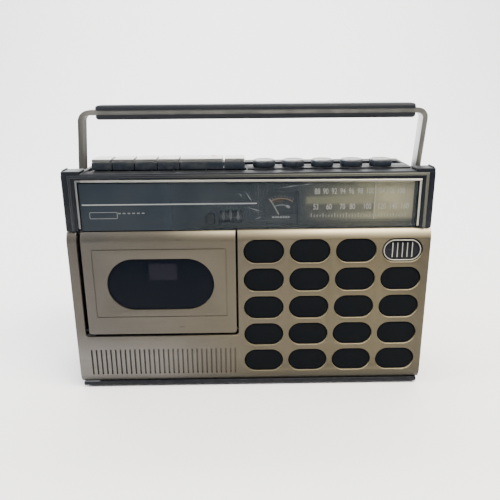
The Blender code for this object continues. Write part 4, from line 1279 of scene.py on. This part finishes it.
# The line and the faint print lie on the front of the dial glass, so their colours are dimmed to stand in
# for the glass tint over them and, as painted shade, for the glass's shadow on them.
LINE_PRINT = plain_paint("line_print", (0.155, 0.165, 0.17), 0.5)
FAINT_PRINT = plain_paint("faint_print", (0.070, 0.078, 0.084), 0.5)
SEAM_PRINT = plain_paint("seam_print", (0.065, 0.07, 0.07), 0.5)
# Painted shade: the hinge pin sits in the dark gap under the door, so its steel is painted near black.
SHADED_PIN_STEEL = plain_paint("shaded_pin_steel", (0.012, 0.012, 0.013), 0.4, 0.6)
METER_FACE = plain_paint("meter_face", (0.025, 0.030, 0.034), 0.6)
ORANGE = plain_paint("arc_orange", (0.42, 0.27, 0.14), 0.5)
BROWN = plain_paint("arc_brown", (0.10, 0.055, 0.025), 0.5)
NEEDLE = plain_paint("needle_pale", (0.60, 0.60, 0.53), 0.4)
POINTER = plain_paint("pointer_pale", (0.66, 0.63, 0.48), 0.4)
RED = plain_paint("record_red", (0.55, 0.04, 0.025), 0.35)
DRUM = plain_paint("drum_black", (0.012, 0.013, 0.014), 0.45)
FIGURES = plain_paint("figure_white", (0.24, 0.25, 0.24), 0.5)
front_panel(PAINT)
cassette_door(PAINT, BLACK)
door_window(window_sheet())
grille_cloth(woven_cloth())
microphone_badge(TRIM, BLACK)
dial_bezel(BLACK, ridge_plastic())
dial_trim(TRIM)
dial_glass(dial_glass_sheet())
dial_plate(dial_paint())
dial_print(LINE_PRINT, PALE_PRINT, FAINT_PRINT, SEAM_PRINT)
glass_scratches(DIM_PRINT)
signal_meter(METER_FACE, ORANGE, BROWN, NEEDLE, WHITE_PRINT)
tape_counter(BLACK, DRUM, FIGURES)
reset_button(black_plastic("button_black", (0.009, 0.012, 0.015), 0.4))
dial_pointer(POINTER)
piano_keys(GLOSSY_BLACK, CAP_METAL, RED)
knobs(GLOSSY_BLACK, knob_metal())
top_deck(BLACK)
handle(ALUMINIUM, RUBBER_BLACK, STEEL)
rear_cabinet(BLACK, STEEL)
battery_door(BLACK)
BRASS = plain_paint("brass", (0.55, 0.38, 0.14), 0.3, 1.0)
RUBBER = plain_paint("rubber", (0.02, 0.02, 0.022), 0.75)
REEL_GREY = plain_paint("reel_grey", (0.25, 0.25, 0.25), 0.5)
BOARD_BROWN = plain_paint("board_brown", (0.22, 0.12, 0.045), 0.6)
CONE_PAPER = plain_paint("cone_paper", (0.035, 0.035, 0.036), 0.9)
FERRITE = plain_paint("ferrite", (0.03, 0.03, 0.032), 0.6)
CHROME = bright_metal("antenna_chrome", (0.62, 0.62, 0.60), 0.18).material
KEPT_FROM_CAD = (
    (STEEL, 0.2, ("mechanism_chassis", "key_shaft", "tape_motor", "head_plate")),
    (SHADED_PIN_STEEL, 0.2, ("door_hinge_pin",)),
    (STEEL, 0.3, ("record_play_head", "speaker_frame", "power_transformer")),
    (BRASS, 0.25, ("capstan_flywheel", "motor_pulley")),
    (RUBBER, 0.2, ("drive_belt", "pinch_roller")),
    (BLACK, 0.4, ("cassette_well", "cassette_holder", "battery_case", "ac_inlet")),
    (REEL_GREY, 0.2, ("supply_spindle", "takeup_spindle")),
    (BOARD_BROWN, 0.2, ("main_circuit_board",)),
    (CONE_PAPER, 0, ("speaker_cone",)),
    (FERRITE, 0.3, ("ferrite_antenna",)),
    (CHROME, 0.15, ("antenna_base", "antenna_tube", "antenna_middle", "antenna_tip")),
)
for finish, edge, nodes in KEPT_FROM_CAD:
    for node in nodes:
        refine(node, finish, edge)
